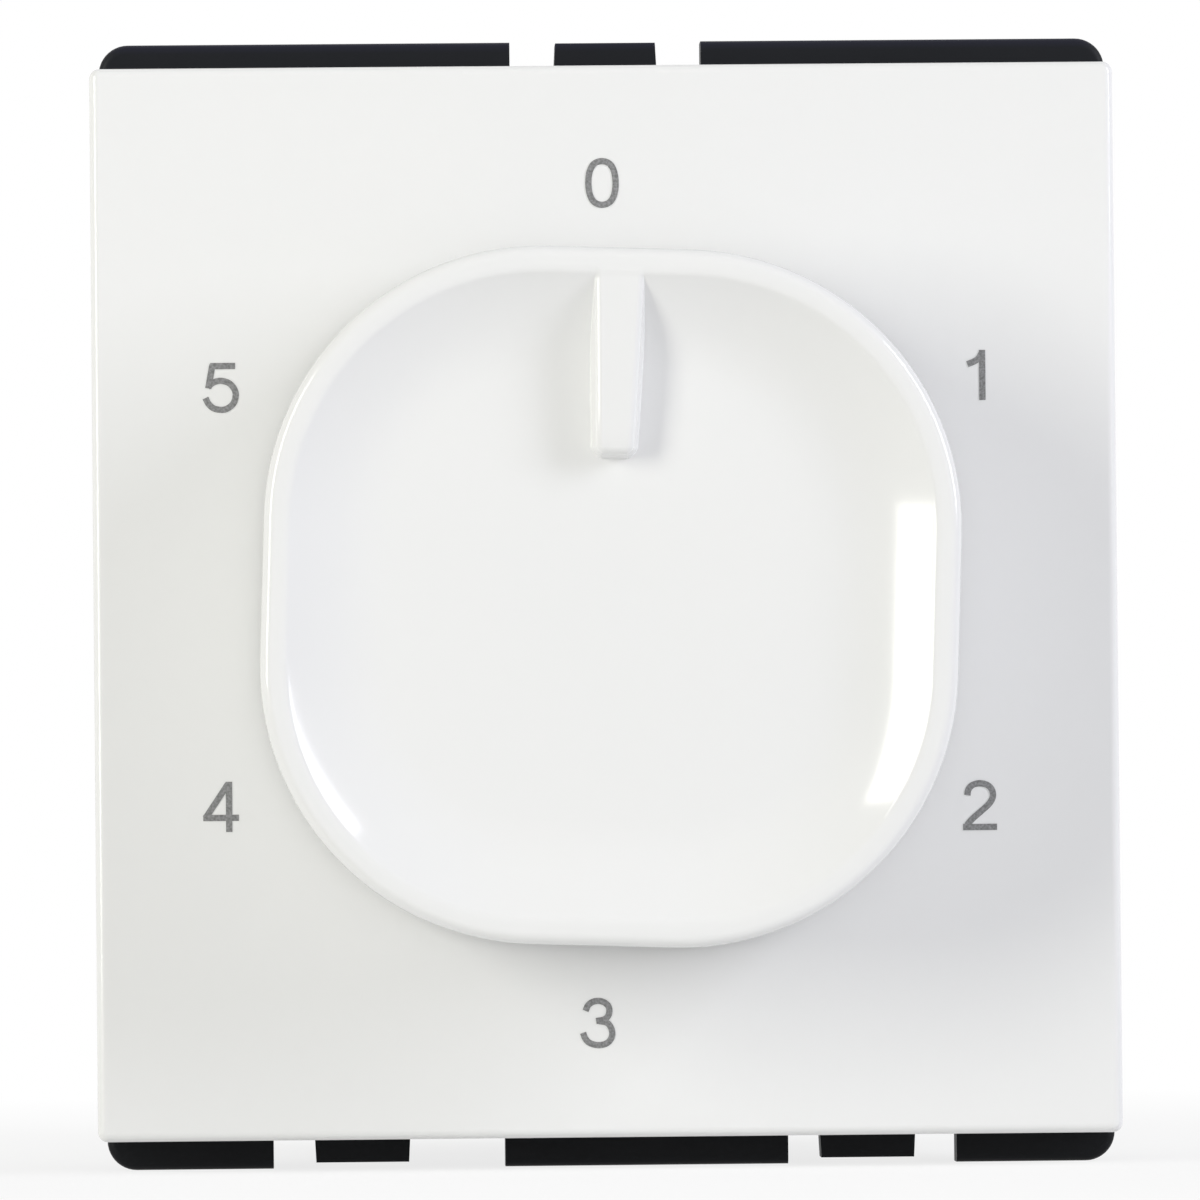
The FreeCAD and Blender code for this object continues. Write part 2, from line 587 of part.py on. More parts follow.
# Front plate
# A shallow cap that snaps over the carrier's collar; the bush passes through its hole.
BEAD_AT = "(plate_wide/2-plate_skirt-plate_fit)"
BEAD_STATION = "(-flange_thick-collar_high/2)"
RING_BACK = f"({PLATE_INSIDE}+rib_high)"

front_plate = new_body("front_plate")
extrude(front_plate, "cap", [soft_box("plate_wide", "plate_tall", "plate_corner")], PLATE_FRONT, PLATE_BACK)
soften(front_plate, "front_edge", "plate_edge", lambda e: flat_at(e, "Y", PLATE_FRONT))
inside = soft_box("plate_wide-2*plate_skirt", "plate_tall-2*plate_skirt", "plate_corner")
extrude(front_plate, "inside", [inside], PLATE_INSIDE, PLATE_BACK, cut=True)
extrude(front_plate, "ring", [("0", "0", "bush_size+hole_gap+rib_ring")], PLATE_INSIDE, RING_BACK)
extrude(front_plate, "hole", [("0", "0", "bush_size+hole_gap")], PLATE_FRONT, RING_BACK, cut=True)
for side, sign in (("left", "-"), ("right", "")):
    groove = (f"{sign}{BEAD_AT}", BEAD_STATION, "bead_size+plate_fit")
    half = "bead_long/2+plate_fit"
    extrude(front_plate, f"groove_{side}", [groove], f"-({half})", half, role="XY_Plane", cut=True)


# Carrier frame
# One black moulding: flange with bars and three snap tongues, collar in front, skirt and posts behind.
SKIRT_IN_WIDE = f"({HOUSING_WIDE}+2*housing_fit)"
SKIRT_IN_TALL = "(housing_tall+2*housing_fit)"
SKIRT_OUT_WIDE = f"({SKIRT_IN_WIDE}+2*skirt_wall)"
SKIRT_OUT_TALL = f"({SKIRT_IN_TALL}+2*skirt_wall)"
COLLAR_WIDE = "(plate_wide-2*plate_skirt-2*plate_fit)"
COLLAR_TALL = "(plate_tall-2*plate_skirt-2*plate_fit)"
COLLAR_FRONT = "(-flange_thick-collar_high)"
BEYOND = f"({CARRIER_TALL}/2+skirt_wall)"

# Each tongue: its side of the frame, middle, width, the opening's two ends, and how far its tip falls short
TONGUES = [
    ("top", "", "0", "top_tongue", "-top_opening/2", "top_opening/2", "top_short"),
    ("foot_left", "-", "-foot_pitch/2", "foot_tongue", "-foot_outer", "-foot_left", "foot_short"),
    ("foot_right", "-", "foot_pitch/2", "foot_tongue", "foot_right", "foot_outer", "foot_short"),
]

carrier = new_body("carrier_frame")
flange_loop = aside(soft_box(CARRIER_WIDE, CARRIER_TALL, "flange_corner"), "flange_aside")
extrude(carrier, "flange", [flange_loop], "-flange_thick", "0")
soften(carrier, "flange_front", "flange_edge", lambda e: flat_at(e, "Y", "-flange_thick"))
collar_loops = [
    soft_box(COLLAR_WIDE, COLLAR_TALL, "plate_corner"),
    middle_box(f"{COLLAR_WIDE}-2*collar_wall", f"{COLLAR_TALL}-2*collar_wall"),
]
extrude(carrier, "collar", collar_loops, COLLAR_FRONT, "-flange_thick")
for side, sign in (("left", "-"), ("right", "")):
    bead = (f"{sign}{BEAD_AT}", BEAD_STATION, "bead_size")
    extrude(carrier, f"bead_{side}", [bead], "-bead_long/2", "bead_long/2", role="XY_Plane")
skirt_loops = [
    soft_box(SKIRT_OUT_WIDE, SKIRT_OUT_TALL, "housing_corner+skirt_wall"),
    soft_box(SKIRT_IN_WIDE, SKIRT_IN_TALL, "housing_corner"),
]
extrude(carrier, "skirt", skirt_loops, "0", "skirt_deep")
for name, sign, middle, wide, left, right, short in TONGUES:
    root = f"{sign}({SKIRT_IN_TALL}/2)"
    low = f"{sign}({SKIRT_IN_TALL}/2-tongue_slot)"
    gate = f"{sign}({COLLAR_TALL}/2-collar_wall-gate_clear)"
    far = f"{sign}{BEYOND}"
    tip = f"{sign}({CARRIER_TALL}/2-{short})"
    face = f"{sign}({SKIRT_OUT_TALL}/2)"
    barb = f"{sign}({SKIRT_OUT_TALL}/2+barb_high)"
    half = f"{wide}/2"
    middle, left, right = f"tongue_aside+{middle}", f"tongue_aside+{left}", f"tongue_aside+{right}"
    island = [
        (f"{middle}-{half}", root),
        (f"{middle}+{half}", root),
        (f"{middle}+{half}-tongue_taper", tip),
        (f"{middle}-{half}+tongue_taper", tip),
    ]
    extrude(carrier, f"{name}_gate", [box(left, gate, right, far)], COLLAR_FRONT, "-flange_thick", cut=True)
    extrude(carrier, f"{name}_opening", [box(left, low, right, far), island], "-flange_thick", "0", cut=True)
    slits = [
        box(f"{middle}-{half}-tongue_slit", low, f"{middle}-{half}", far),
        box(f"{middle}+{half}", low, f"{middle}+{half}+tongue_slit", far),
    ]
    extrude(carrier, f"{name}_slits", slits, "0", "skirt_deep-tongue_root", cut=True)
    wedge = [("barb_from", face), ("barb_from+barb_deep", face), ("barb_from", barb)]
    start = f"{middle}-{half}+tongue_taper*2"
    end = f"{middle}+{half}-tongue_taper*2"
    extrude(carrier, f"{name}_barb", [wedge], start, end, role="YZ_Plane")
PEG_SPOTS = [(f"-{PEG_AT}", PEG_AT), (PEG_AT, f"-{PEG_AT}")]
PIN_SPOTS = [(PEG_AT, PEG_AT), (f"-{PEG_AT}", f"-{PEG_AT}")]
web_holes = [("0", "0", "bush_size+bush_fit")] + [(x, z, "peg_size+peg_fit") for x, z in PEG_SPOTS]
extrude(carrier, "web_holes", web_holes, "-flange_thick", "0", cut=True)
POSTS = [(f"-{POST_AT}", "0"), (POST_AT, "0")]
extrude(carrier, "posts", [(x, z, "post_size") for x, z in POSTS], "0", "post_deep")
pilots = [(x, z, "screw_size+touch_gap") for x, z in POSTS]
extrude(carrier, "pilots", pilots, "post_deep-pilot_deep", "post_deep", cut=True)


# Rear housing
# A box open to the front: screw tubes, ribs that press on the board, screwdriver wells, wire entries.
WELL_IN = "(clamp_head+well_fit)"
WELL_FRONT = f"({CLAMP_HEAD}-bar_fit)"
WELL_LEDGE = f"({CLAMP_TOP}+well_play)"
TERMINALS = [("line", "-terminal_at"), ("load", "terminal_at")]
FUNNEL_TOP = f"(-{TERMINAL_LOW}-cage_long/2-wire_gap)"
WALL_SINK = "housing_wall/4"


def corner_boxes():
    """The four ribs in the housing's corners, sunk a little into its walls."""
    out_x = f"({INSIDE_WIDE}/2+{WALL_SINK})"
    out_z = f"({INSIDE_TALL}/2+{WALL_SINK})"
    in_x = f"({INSIDE_WIDE}/2-corner_rib)"
    in_z = f"({INSIDE_TALL}/2-corner_rib)"
    quarters = [(across, up) for across in ("", "-") for up in ("", "-")]
    return [box(f"{a}{in_x}", f"{b}{in_z}", f"{a}{out_x}", f"{b}{out_z}") for a, b in quarters]


housing = new_body("rear_housing")
extrude(housing, "case", [soft_box(HOUSING_WIDE, "housing_tall", "housing_corner")], "0", "housing_deep")
soften(housing, "back_edge", "housing_edge", lambda e: flat_at(e, "Y", "housing_deep"))
housing_inside = soft_box(INSIDE_WIDE, INSIDE_TALL, "(housing_corner-housing_wall)")
extrude(housing, "inside", [housing_inside], "0", HOUSING_INSIDE, cut=True)
RIB_END = f"({HOUSING_INSIDE}+{WALL_SINK})"
extrude(housing, "corner_ribs", corner_boxes(), BOARD_BACK, RIB_END)
extrude(housing, "tubes", [(x, z, TUBE_OUT) for x, z in POSTS], "post_deep", RIB_END)
extrude(housing, "tube_bores", [(x, z, TUBE_IN) for x, z in POSTS], HEAD_SEAT, "housing_deep", cut=True)
tube_holes = [(x, z, "screw_size+screw_gap") for x, z in POSTS]
extrude(housing, "tube_holes", tube_holes, "post_deep", HEAD_SEAT, cut=True)
wells = [(x, f"-{TERMINAL_LOW}", f"{WELL_IN}+well_wall") for name, x in TERMINALS]
extrude(housing, "wells", wells, WELL_FRONT, RIB_END)
well_bores = [(x, f"-{TERMINAL_LOW}", WELL_IN) for name, x in TERMINALS]
extrude(housing, "well_bores", well_bores, WELL_FRONT, WELL_LEDGE, cut=True)
well_lips = [(x, f"-{TERMINAL_LOW}", "well_lip") for name, x in TERMINALS]
extrude(housing, "well_lips", well_lips, WELL_LEDGE, "housing_deep", cut=True)
funnels = [(x, WIRE_AT, "wire_size+wire_funnel") for name, x in TERMINALS]
funnel_foot = f"-{INSIDE_TALL}/2-{WALL_SINK}"
extrude(housing, "funnels", funnels, funnel_foot, FUNNEL_TOP, role="XY_Plane")
entries = [(x, WIRE_AT, "wire_size") for name, x in TERMINALS]
extrude(housing, "wire_entries", entries, "-housing_tall/2", FUNNEL_TOP, role="XY_Plane", cut=True)


# Housing screws
# Two thread-forming screws, driven from behind through the tubes into the carrier's posts.
def cross_recess(body, name, wide, top):
    """Two crossed slots in a screw's head."""
    bottom = f"{top}-recess_deep"
    extrude(body, f"{name}_across", [middle_box(wide, "recess_wide")], bottom, top, cut=True)
    extrude(body, f"{name}_upright", [middle_box("recess_wide", wide)], bottom, top, cut=True)


for side, (x, z) in zip(("left", "right"), POSTS):
    screw = new_body(f"housing_screw_{side}")
    tip = f"({HEAD_SEAT}-screw_long)"
    head_top = f"({HEAD_SEAT}+screw_head_high)"
    profile = [
        ("0", tip),
        ("screw_size/2", tip),
        ("screw_size", f"{tip}+screw_size"),
        ("screw_size", HEAD_SEAT),
        ("screw_head", HEAD_SEAT),
        ("screw_head", f"{HEAD_SEAT}+screw_head_high/2"),
        ("screw_head*0.7", head_top),
        ("0", head_top),
    ]
    turned(screw, "blank", profile)
    cross_recess(screw, "recess", "screw_head*1.2", head_top)
    place(screw, x, z)


# Rotary switch cover
# The front half of the switch: bush for the spindle, detent chamber, end-stop rib, seats for the leaves.
def sector(inner, outer, first, last):
    """A piece of a ring between two angles clockwise from up."""
    return [
        (*polar(outer, last), outer),
        polar(outer, first),
        (*polar(inner, first), inner, "right"),
        polar(inner, last),
    ]


LEAF_FRONT = f"({WHEEL_FRONT}+(wheel_thick-leaf_wide)/2)"
LEAF_BACK = f"({LEAF_FRONT}+leaf_wide)"
STOP_HALF = "(step_angle/2-lug_half-stop_play)"
STOP_MIDDLE = "(-step_angle/2)"
STOP_OUT = f"({CHAMBER}+chamber_wall/4)"
LEAF_HALF = f"sqrt(({CHAMBER}-leaf_end)^2-(leaf_at+leaf_thick)^2)"

cover = new_body("switch_cover")
extrude(cover, "block", [soft_box("cover_side", "cover_side", "cover_corner")], "0", "cover_deep")
extrude(cover, "chamber", [("0", "0", CHAMBER)], "cover_wall", "cover_deep", cut=True)
stop_loop = sector("stop_in", STOP_OUT, f"{STOP_MIDDLE}-{STOP_HALF}", f"{STOP_MIDDLE}+{STOP_HALF}")
extrude(cover, "stop_rib", [stop_loop], "cover_wall", "cover_wall+stop_high")
seat_out = f"({LEAF_HALF}-leaf_thick)"
for name, z in (("upper", ""), ("lower", "-")):
    near = f"{z}(leaf_at-touch_gap)"
    far = f"{z}(leaf_at-touch_gap-leaf_seat)"
    seats = [
        box(f"{seat_out}-leaf_seat", far, seat_out, near),
        box(f"-{seat_out}", far, f"-{seat_out}+leaf_seat", near),
    ]
    extrude(cover, f"{name}_seats", seats, "cover_wall", LEAF_BACK)
extrude(cover, "bush", [("0", "0", "bush_size")], BUSH_TIP, "0")
extrude(cover, "pegs", [(x, z, "peg_size") for x, z in PEG_SPOTS], "-peg_long", "0")
extrude(cover, "bore", [("0", "0", "spindle_size+running_gap")], BUSH_TIP, "cover_wall", cut=True)
pin_holes = [(x, z, "peg_size+peg_fit") for x, z in PIN_SPOTS]
extrude(cover, "pin_holes", pin_holes, "cover_deep-peg_long-peg_fit", "cover_deep", cut=True)


# Spindle
# One moulding: D shaft, journal, collar with the end-stop lug, star wheel, contact disc, rear pivot.
spindle = new_body("spindle")
spindle_profile = [
    ("0", SPINDLE_TIP),
    ("spindle_size", SPINDLE_TIP),
    ("spindle_size", LUG_FRONT),
    ("lug_collar", LUG_FRONT),
    ("lug_collar", WHEEL_FRONT),
    ("wheel_size", WHEEL_FRONT),
    ("wheel_size", DISC_FRONT),
    ("disc_size", DISC_FRONT),
    ("disc_size", STRIP_FRONT),
    ("pivot_size", STRIP_FRONT),
    ("pivot_size", PIVOT_TIP),
    ("0", PIVOT_TIP),
]
turned(spindle, "blank", spindle_profile)
lug_loop = sector("spindle_size", "lug_out", "-lug_half", "lug_half")
extrude(spindle, "lug", [lug_loop], LUG_FRONT, WHEEL_FRONT)
STEPS = round(360 / number("step_angle"))
notch_loop = ("0", "leaf_at", "nose_size+nose_fit")
notch = extrude(spindle, "notch", [notch_loop], WHEEL_FRONT, DISC_FRONT, cut=True)
around(spindle, "star", notch, STEPS)
flat_loop = box("-spindle_size", "spindle_flat", "spindle_size", "spindle_size*1.1")
extrude(spindle, "flat", [flat_loop], SPINDLE_TIP, f"{BUSH_TIP}-spin_gap", cut=True)
RING_MIDDLE = "((ring_in+ring_out)/2)"
rivets = [("0", z + RING_MIDDLE, "rivet_size") for z in ("", "-")]
extrude(spindle, "rivets", rivets, STRIP_FRONT, STRIP_BACK)


# Detent springs
# Two leaves of spring steel across the chamber; the nose of each sits in a notch of the star wheel.
def leaf_loop():
    """A straight leaf with a round nose pressed out of its middle, towards the axis."""
    low, high = "leaf_at", "(leaf_at+leaf_thick)"
    inner = "(nose_size-leaf_thick)"
    return [
        (f"-{LEAF_HALF}", low),
        ("-nose_size", low, "nose_size"),
        ("0", f"{low}-nose_size", "nose_size"),
        ("nose_size", low),
        (LEAF_HALF, low),
        (LEAF_HALF, high),
        (inner, high),
        (inner, low, inner, "right"),
        ("0", f"{low}-{inner}", inner, "right"),
        (f"-{inner}", low),
        (f"-{inner}", high),
        (f"-{LEAF_HALF}", high),
    ]


for name, angle in (("upper", 0), ("lower", 180)):
    leaf = new_body(f"detent_spring_{name}")
    extrude(leaf, "leaf", [leaf_loop()], LEAF_FRONT, LEAF_BACK)
    leaf.Placement = FreeCAD.Placement(FreeCAD.Vector(), FreeCAD.Rotation(FreeCAD.Vector(0, 1, 0), angle))


# Moving contact
# A stamped plate riveted to the spindle's disc: a ring, an arm, and dimples that slide on the contacts.
DIMPLE_TIP = f"({CONTACT_FACE}-touch_gap)"
ARM_END = "(contact_at+strip_wide/2)"
moving = new_body("moving_contact")
extrude(moving, "ring", [("0", "0", "ring_out")], STRIP_FRONT, STRIP_BACK)
extrude(moving, "arm", [box("-strip_wide/2", "0", "strip_wide/2", ARM_END)], STRIP_FRONT, STRIP_BACK)
strip_holes = [("0", "0", "pivot_size+peg_fit")] + [(x, z, "rivet_size+peg_fit") for x, z, size in rivets]
extrude(moving, "holes", strip_holes, STRIP_FRONT, STRIP_BACK, cut=True)
dimples = [("0", "contact_at", "dimple_size")] + [(x + RING_MIDDLE, "0", "dimple_size") for x in ("", "-")]
extrude(moving, "dimples", dimples, STRIP_BACK, DIMPLE_TIP)


# Contacts
# Five rivet contacts, one for each speed, and the ring that feeds them all through the moving contact.
CONTACT_SPOTS = [polar("contact_at", f"{step}*step_angle") for step in range(1, STEPS)]
contact_profile = [
    ("0", CONTACT_FACE),
    ("contact_size", CONTACT_FACE),
    ("contact_size", CONTACT_BACK),
    ("pin_size", CONTACT_BACK),
    ("pin_size", PIN_TIP),
    ("0", PIN_TIP),
]
for step, (x, z) in enumerate(CONTACT_SPOTS, start=1):
    contact = new_body(f"fixed_contact_{step}")
    turned(contact, "rivet", contact_profile)
    place(contact, x, z)

common = new_body("common_contact")
extrude(common, "ring", [("0", "0", "ring_out"), ("0", "0", "ring_in")], CONTACT_FACE, CONTACT_BACK)
extrude(common, "pin", [("0", RING_MIDDLE, "pin_size")], CONTACT_BACK, PIN_TIP)


# Rotary switch base
# The rear half of the switch: holds the contacts flush, carries the spindle's pivot, stands on the board.
base = new_body("switch_base")
extrude(base, "slab", [soft_box("cover_side", "cover_side", "cover_corner")], "cover_deep", BASE_BACK)
extrude(base, "pins", [(x, z, "peg_size") for x, z in PIN_SPOTS], "cover_deep-peg_long", "cover_deep")
ring_seat = [("0", "0", "ring_out+contact_fit"), ("0", "0", "ring_in-contact_fit")]
extrude(base, "ring_seat", ring_seat, "cover_deep", CONTACT_BACK, cut=True)
contact_seats = [(x, z, "contact_size+contact_fit") for x, z in CONTACT_SPOTS]
extrude(base, "contact_seats", contact_seats, "cover_deep", CONTACT_BACK, cut=True)
pin_spots = CONTACT_SPOTS + [("0", RING_MIDDLE)]
pin_seats = [(x, z, "pin_size+contact_fit") for x, z in pin_spots]
extrude(base, "pin_holes", pin_seats, CONTACT_BACK, BASE_BACK, cut=True)
extrude(base, "pivot_hole", [("0", "0", "pivot_size+running_gap")], "cover_deep", BASE_BACK, cut=True)
extrude(base, "feet", [(x, z, "peg_size") for x, z in PEG_SPOTS + PIN_SPOTS], BASE_BACK, BOARD_FRONT)


# Capacitors
# Film capacitors in moulded boxes that stand on feet over the board, with a lead at each end.
LEAD_TIP = f"({BOARD_FRONT}-tail_proud)"
CASE_FRONT = f"({BOARD_BACK}+film_feet)"
LARGE_AT = f"(-{FILM_LOW}+film_large/2)"
SMALL_AT = f"(-{FILM_LOW}+film_large+film_apart+film_small/2)"
FILM_HALF = f"{FILM_WIDE}/2"
FILMS = [
    ("capacitor_large", "film_large", "film_large_tall", LARGE_AT),
    ("capacitor_small", "film_small", "film_small_tall", SMALL_AT),
]
film_lead_spots = []
for label, thick, tall, z in FILMS:
    film = new_body(label)
    case_back = f"({CASE_FRONT}+{tall})"
    extrude(film, "case", [soft_box(FILM_WIDE, thick, "film_edge")], CASE_FRONT, case_back)
    soften(film, "top_edge", "film_edge", lambda e, top=case_back: flat_at(e, "Y", top))
    feet = [
        box(f"{FILM_HALF}-film_foot", f"-{thick}/2+film_edge", FILM_HALF, f"{thick}/2-film_edge"),
        box(f"-{FILM_HALF}", f"-{thick}/2+film_edge", f"-{FILM_HALF}+film_foot", f"{thick}/2-film_edge"),
    ]
    extrude(film, "feet", feet, BOARD_BACK, CASE_FRONT)
    leads = [(f"{x}({FILM_HALF}-film_lead_in)", "0", "lead_size") for x in ("-", "")]
    extrude(film, "leads", leads, LEAD_TIP, CASE_FRONT)
    place(film, "0", z)
    film_lead_spots += [(x, z) for x, nothing, size in leads]


# Resistors
# Two bleed and two surge resistors lying over the board on bent leads.
RESISTOR_AT = f"({BOARD_BACK}+resistor_lift+resistor_size)"
RESISTOR_FROM = f"({SMALL_AT}+film_small/2+resistor_room+resistor_size)"
RESISTOR_SPOTS = [
    (x, z)
    for z in (RESISTOR_FROM, f"{RESISTOR_FROM}+resistor_pitch")
    for x in ("-resistor_side", "resistor_side")
]
resistor_lead_spots = []
for index, (x, z) in enumerate(RESISTOR_SPOTS, start=1):
    resistor = new_body(f"resistor_{index}")
    half = "resistor_long/2"
    reach_out = "(resistor_leads/2+lead_size)"
    rod = (RESISTOR_AT, "0", "resistor_size")
    wire = (RESISTOR_AT, "0", "lead_size")
    extrude(resistor, "rod", [rod], f"-{half}", half, role="YZ_Plane")
    extrude(resistor, "wire", [wire], f"-{reach_out}", reach_out, role="YZ_Plane")
    legs = [(f"{side}resistor_leads/2", "0", "lead_size") for side in ("-", "")]
    extrude(resistor, "legs", legs, LEAD_TIP, RESISTOR_AT)
    place(resistor, x, z)
    resistor_lead_spots += [(f"{x}+({leg_x})", z) for leg_x, nothing, size in legs]


# Terminals
# Rising cages: the screw turns in its well, its tip on the fixed bar, and draws the cage up to the bar.
def bent_bar():
    """The bar from its side: a straight run through the cage, then a leg down into the board."""
    start = "(-cage_long/2-bar_over)"
    return [
        (BAR_FRONT, start),
        (BAR_BACK, start),
        (BAR_BACK, f"{BAR_LEG_OUT}-bar_bend", "bar_bend"),
        (f"{BAR_BACK}-bar_bend", BAR_LEG_OUT),
        (LEAD_TIP, BAR_LEG_OUT),
        (LEAD_TIP, BAR_LEG_IN),
        (BAR_FRONT, BAR_LEG_IN),
    ]


for name, x in TERMINALS:
    bar = new_body(f"terminal_bar_{name}")
    extrude(bar, "strip", [bent_bar()], "-bar_wide/2", "bar_wide/2", role="YZ_Plane")
    place(bar, x, f"-{TERMINAL_LOW}")

    cage = new_body(f"terminal_cage_{name}")
    cage_loops = [
        box("-cage_wide/2", CAGE_FRONT, "cage_wide/2", CAGE_BACK),
        box("-cage_wide/2+cage_side", WINDOW_FRONT, "cage_wide/2-cage_side", WINDOW_BACK),
    ]
    extrude(cage, "ring", cage_loops, "-cage_long/2", "cage_long/2", role="XY_Plane")
    extrude(cage, "thread", [("0", "0", "clamp_size+clamp_fit")], WINDOW_BACK, CAGE_BACK, cut=True)
    place(cage, x, f"-{TERMINAL_LOW}")

    clamp = new_body(f"terminal_screw_{name}")
    clamp_profile = [
        ("0", CLAMP_TIP),
        ("clamp_size", CLAMP_TIP),
        ("clamp_size", CLAMP_HEAD),
        ("clamp_head", CLAMP_HEAD),
        ("clamp_head", CLAMP_TOP),
        ("0", CLAMP_TOP),
    ]
    turned(clamp, "blank", clamp_profile)
    slot = middle_box("clamp_head*2.2", "clamp_slot")
    extrude(clamp, "slot", [slot], f"{CLAMP_TOP}-recess_deep", CLAMP_TOP, cut=True)
    place(clamp, x, f"-{TERMINAL_LOW}")


# Circuit board
# Carries the switch, the capacitors, the resistors and the terminal bars; notched round the screw tubes.
board = new_body("circuit_board")
sheet_loop = soft_box(f"({INSIDE_WIDE}-2*board_fit)", f"({INSIDE_TALL}-2*board_fit)", "board_corner")
extrude(board, "sheet", [sheet_loop], BOARD_FRONT, BOARD_BACK)
notches = [(x, z, f"{TUBE_OUT}+board_gap") for x, z in POSTS]
extrude(board, "notches", notches, BOARD_FRONT, BOARD_BACK, cut=True)
holes = [(x, z, "pin_size+solder_gap") for x, z in pin_spots]
holes += [(x, z, "lead_size+solder_gap") for x, z in film_lead_spots + resistor_lead_spots]
extrude(board, "holes", holes, BOARD_FRONT, BOARD_BACK, cut=True)
leg_low = f"(-{TERMINAL_LOW}+{BAR_LEG_IN}-bar_fit)"
leg_high = f"(-{TERMINAL_LOW}+{BAR_LEG_OUT}+bar_fit)"
slot_half = "(bar_wide/2+bar_fit)"
slots = [box(f"{x}-{slot_half}", leg_low, f"{x}+{slot_half}", leg_high) for name, x in TERMINALS]
extrude(board, "slots", slots, BOARD_FRONT, BOARD_BACK, cut=True)


# Check and write every piece
doc.recompute()
for item in doc.Objects:
    if {"Invalid", "Error"} & set(item.State):
        raise RuntimeError(f"{item.Label} failed: {item.State}")
pieces = [item for item in doc.Objects if item.TypeId == "PartDesign::Body"]
for piece in pieces:
    if piece.Shape.isNull() or not piece.Shape.isValid():
        raise RuntimeError(f"{piece.Label} is empty or not valid")
os.makedirs("parts", exist_ok=True)
for piece in pieces:
    piece.Shape.exportStep(f"parts/{piece.Label}.step")
    print(f"{piece.Label}: {piece.Shape.Volume:.1f} mm3, {len(piece.Shape.Solids)} solid")
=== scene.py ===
import math

import bpy
import numpy as np
from mathutils import Matrix, Vector


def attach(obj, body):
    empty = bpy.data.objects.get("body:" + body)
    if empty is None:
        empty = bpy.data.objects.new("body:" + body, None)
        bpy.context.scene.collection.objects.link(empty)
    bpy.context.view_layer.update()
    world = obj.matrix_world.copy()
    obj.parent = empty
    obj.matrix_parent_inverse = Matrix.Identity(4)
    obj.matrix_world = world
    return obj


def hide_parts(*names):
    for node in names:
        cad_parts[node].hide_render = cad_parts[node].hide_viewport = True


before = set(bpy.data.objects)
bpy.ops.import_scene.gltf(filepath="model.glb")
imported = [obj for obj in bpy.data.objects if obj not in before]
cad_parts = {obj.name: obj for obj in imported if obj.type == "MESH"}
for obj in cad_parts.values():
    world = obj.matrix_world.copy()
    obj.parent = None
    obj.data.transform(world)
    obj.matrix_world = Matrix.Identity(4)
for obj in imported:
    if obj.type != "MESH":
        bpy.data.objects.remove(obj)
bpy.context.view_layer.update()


# Circuit board: paper laminate, 1.6 mm thick, brown and slightly mottled, pressed against the
# housing's corner ribs. Its front carries the copper side and its back the capacitors.
MM = 0.001


class Mark:
    """A value that runs between a finish's nodes. Sums written on it add Math nodes."""

    def __init__(self, finish, socket):
        self.finish = finish
        self.socket = socket

    def sum(self, what, first, second):
        return self.finish.node("ShaderNodeMath", {0: first, 1: second}, operation=what)

    def __add__(self, other):
        return self.sum("ADD", self, other)

    def __radd__(self, other):
        return self.sum("ADD", other, self)

    def __sub__(self, other):
        return self.sum("SUBTRACT", self, other)

    def __rsub__(self, other):
        return self.sum("SUBTRACT", other, self)

    def __mul__(self, other):
        return self.sum("MULTIPLY", self, other)

    def __rmul__(self, other):
        return self.sum("MULTIPLY", other, self)

    def __truediv__(self, other):
        return self.sum("DIVIDE", self, other)

    def __rtruediv__(self, other):
        return self.sum("DIVIDE", other, self)

    def __gt__(self, other):
        return self.sum("GREATER_THAN", self, other)

    def __lt__(self, other):
        return self.sum("LESS_THAN", self, other)

    def size(self):
        """The value without its sign."""
        return self.finish.node("ShaderNodeMath", {0: self}, operation="ABSOLUTE")

    def larger(self, other):
        return self.sum("MAXIMUM", self, other)

    def kept(self, low, high):
        """The value moved from low..high to 0..1 and held there."""
        sockets = {"Value": self, "From Min": low, "From Max": high}
        return self.finish.node("ShaderNodeMapRange", sockets, clamp=True)


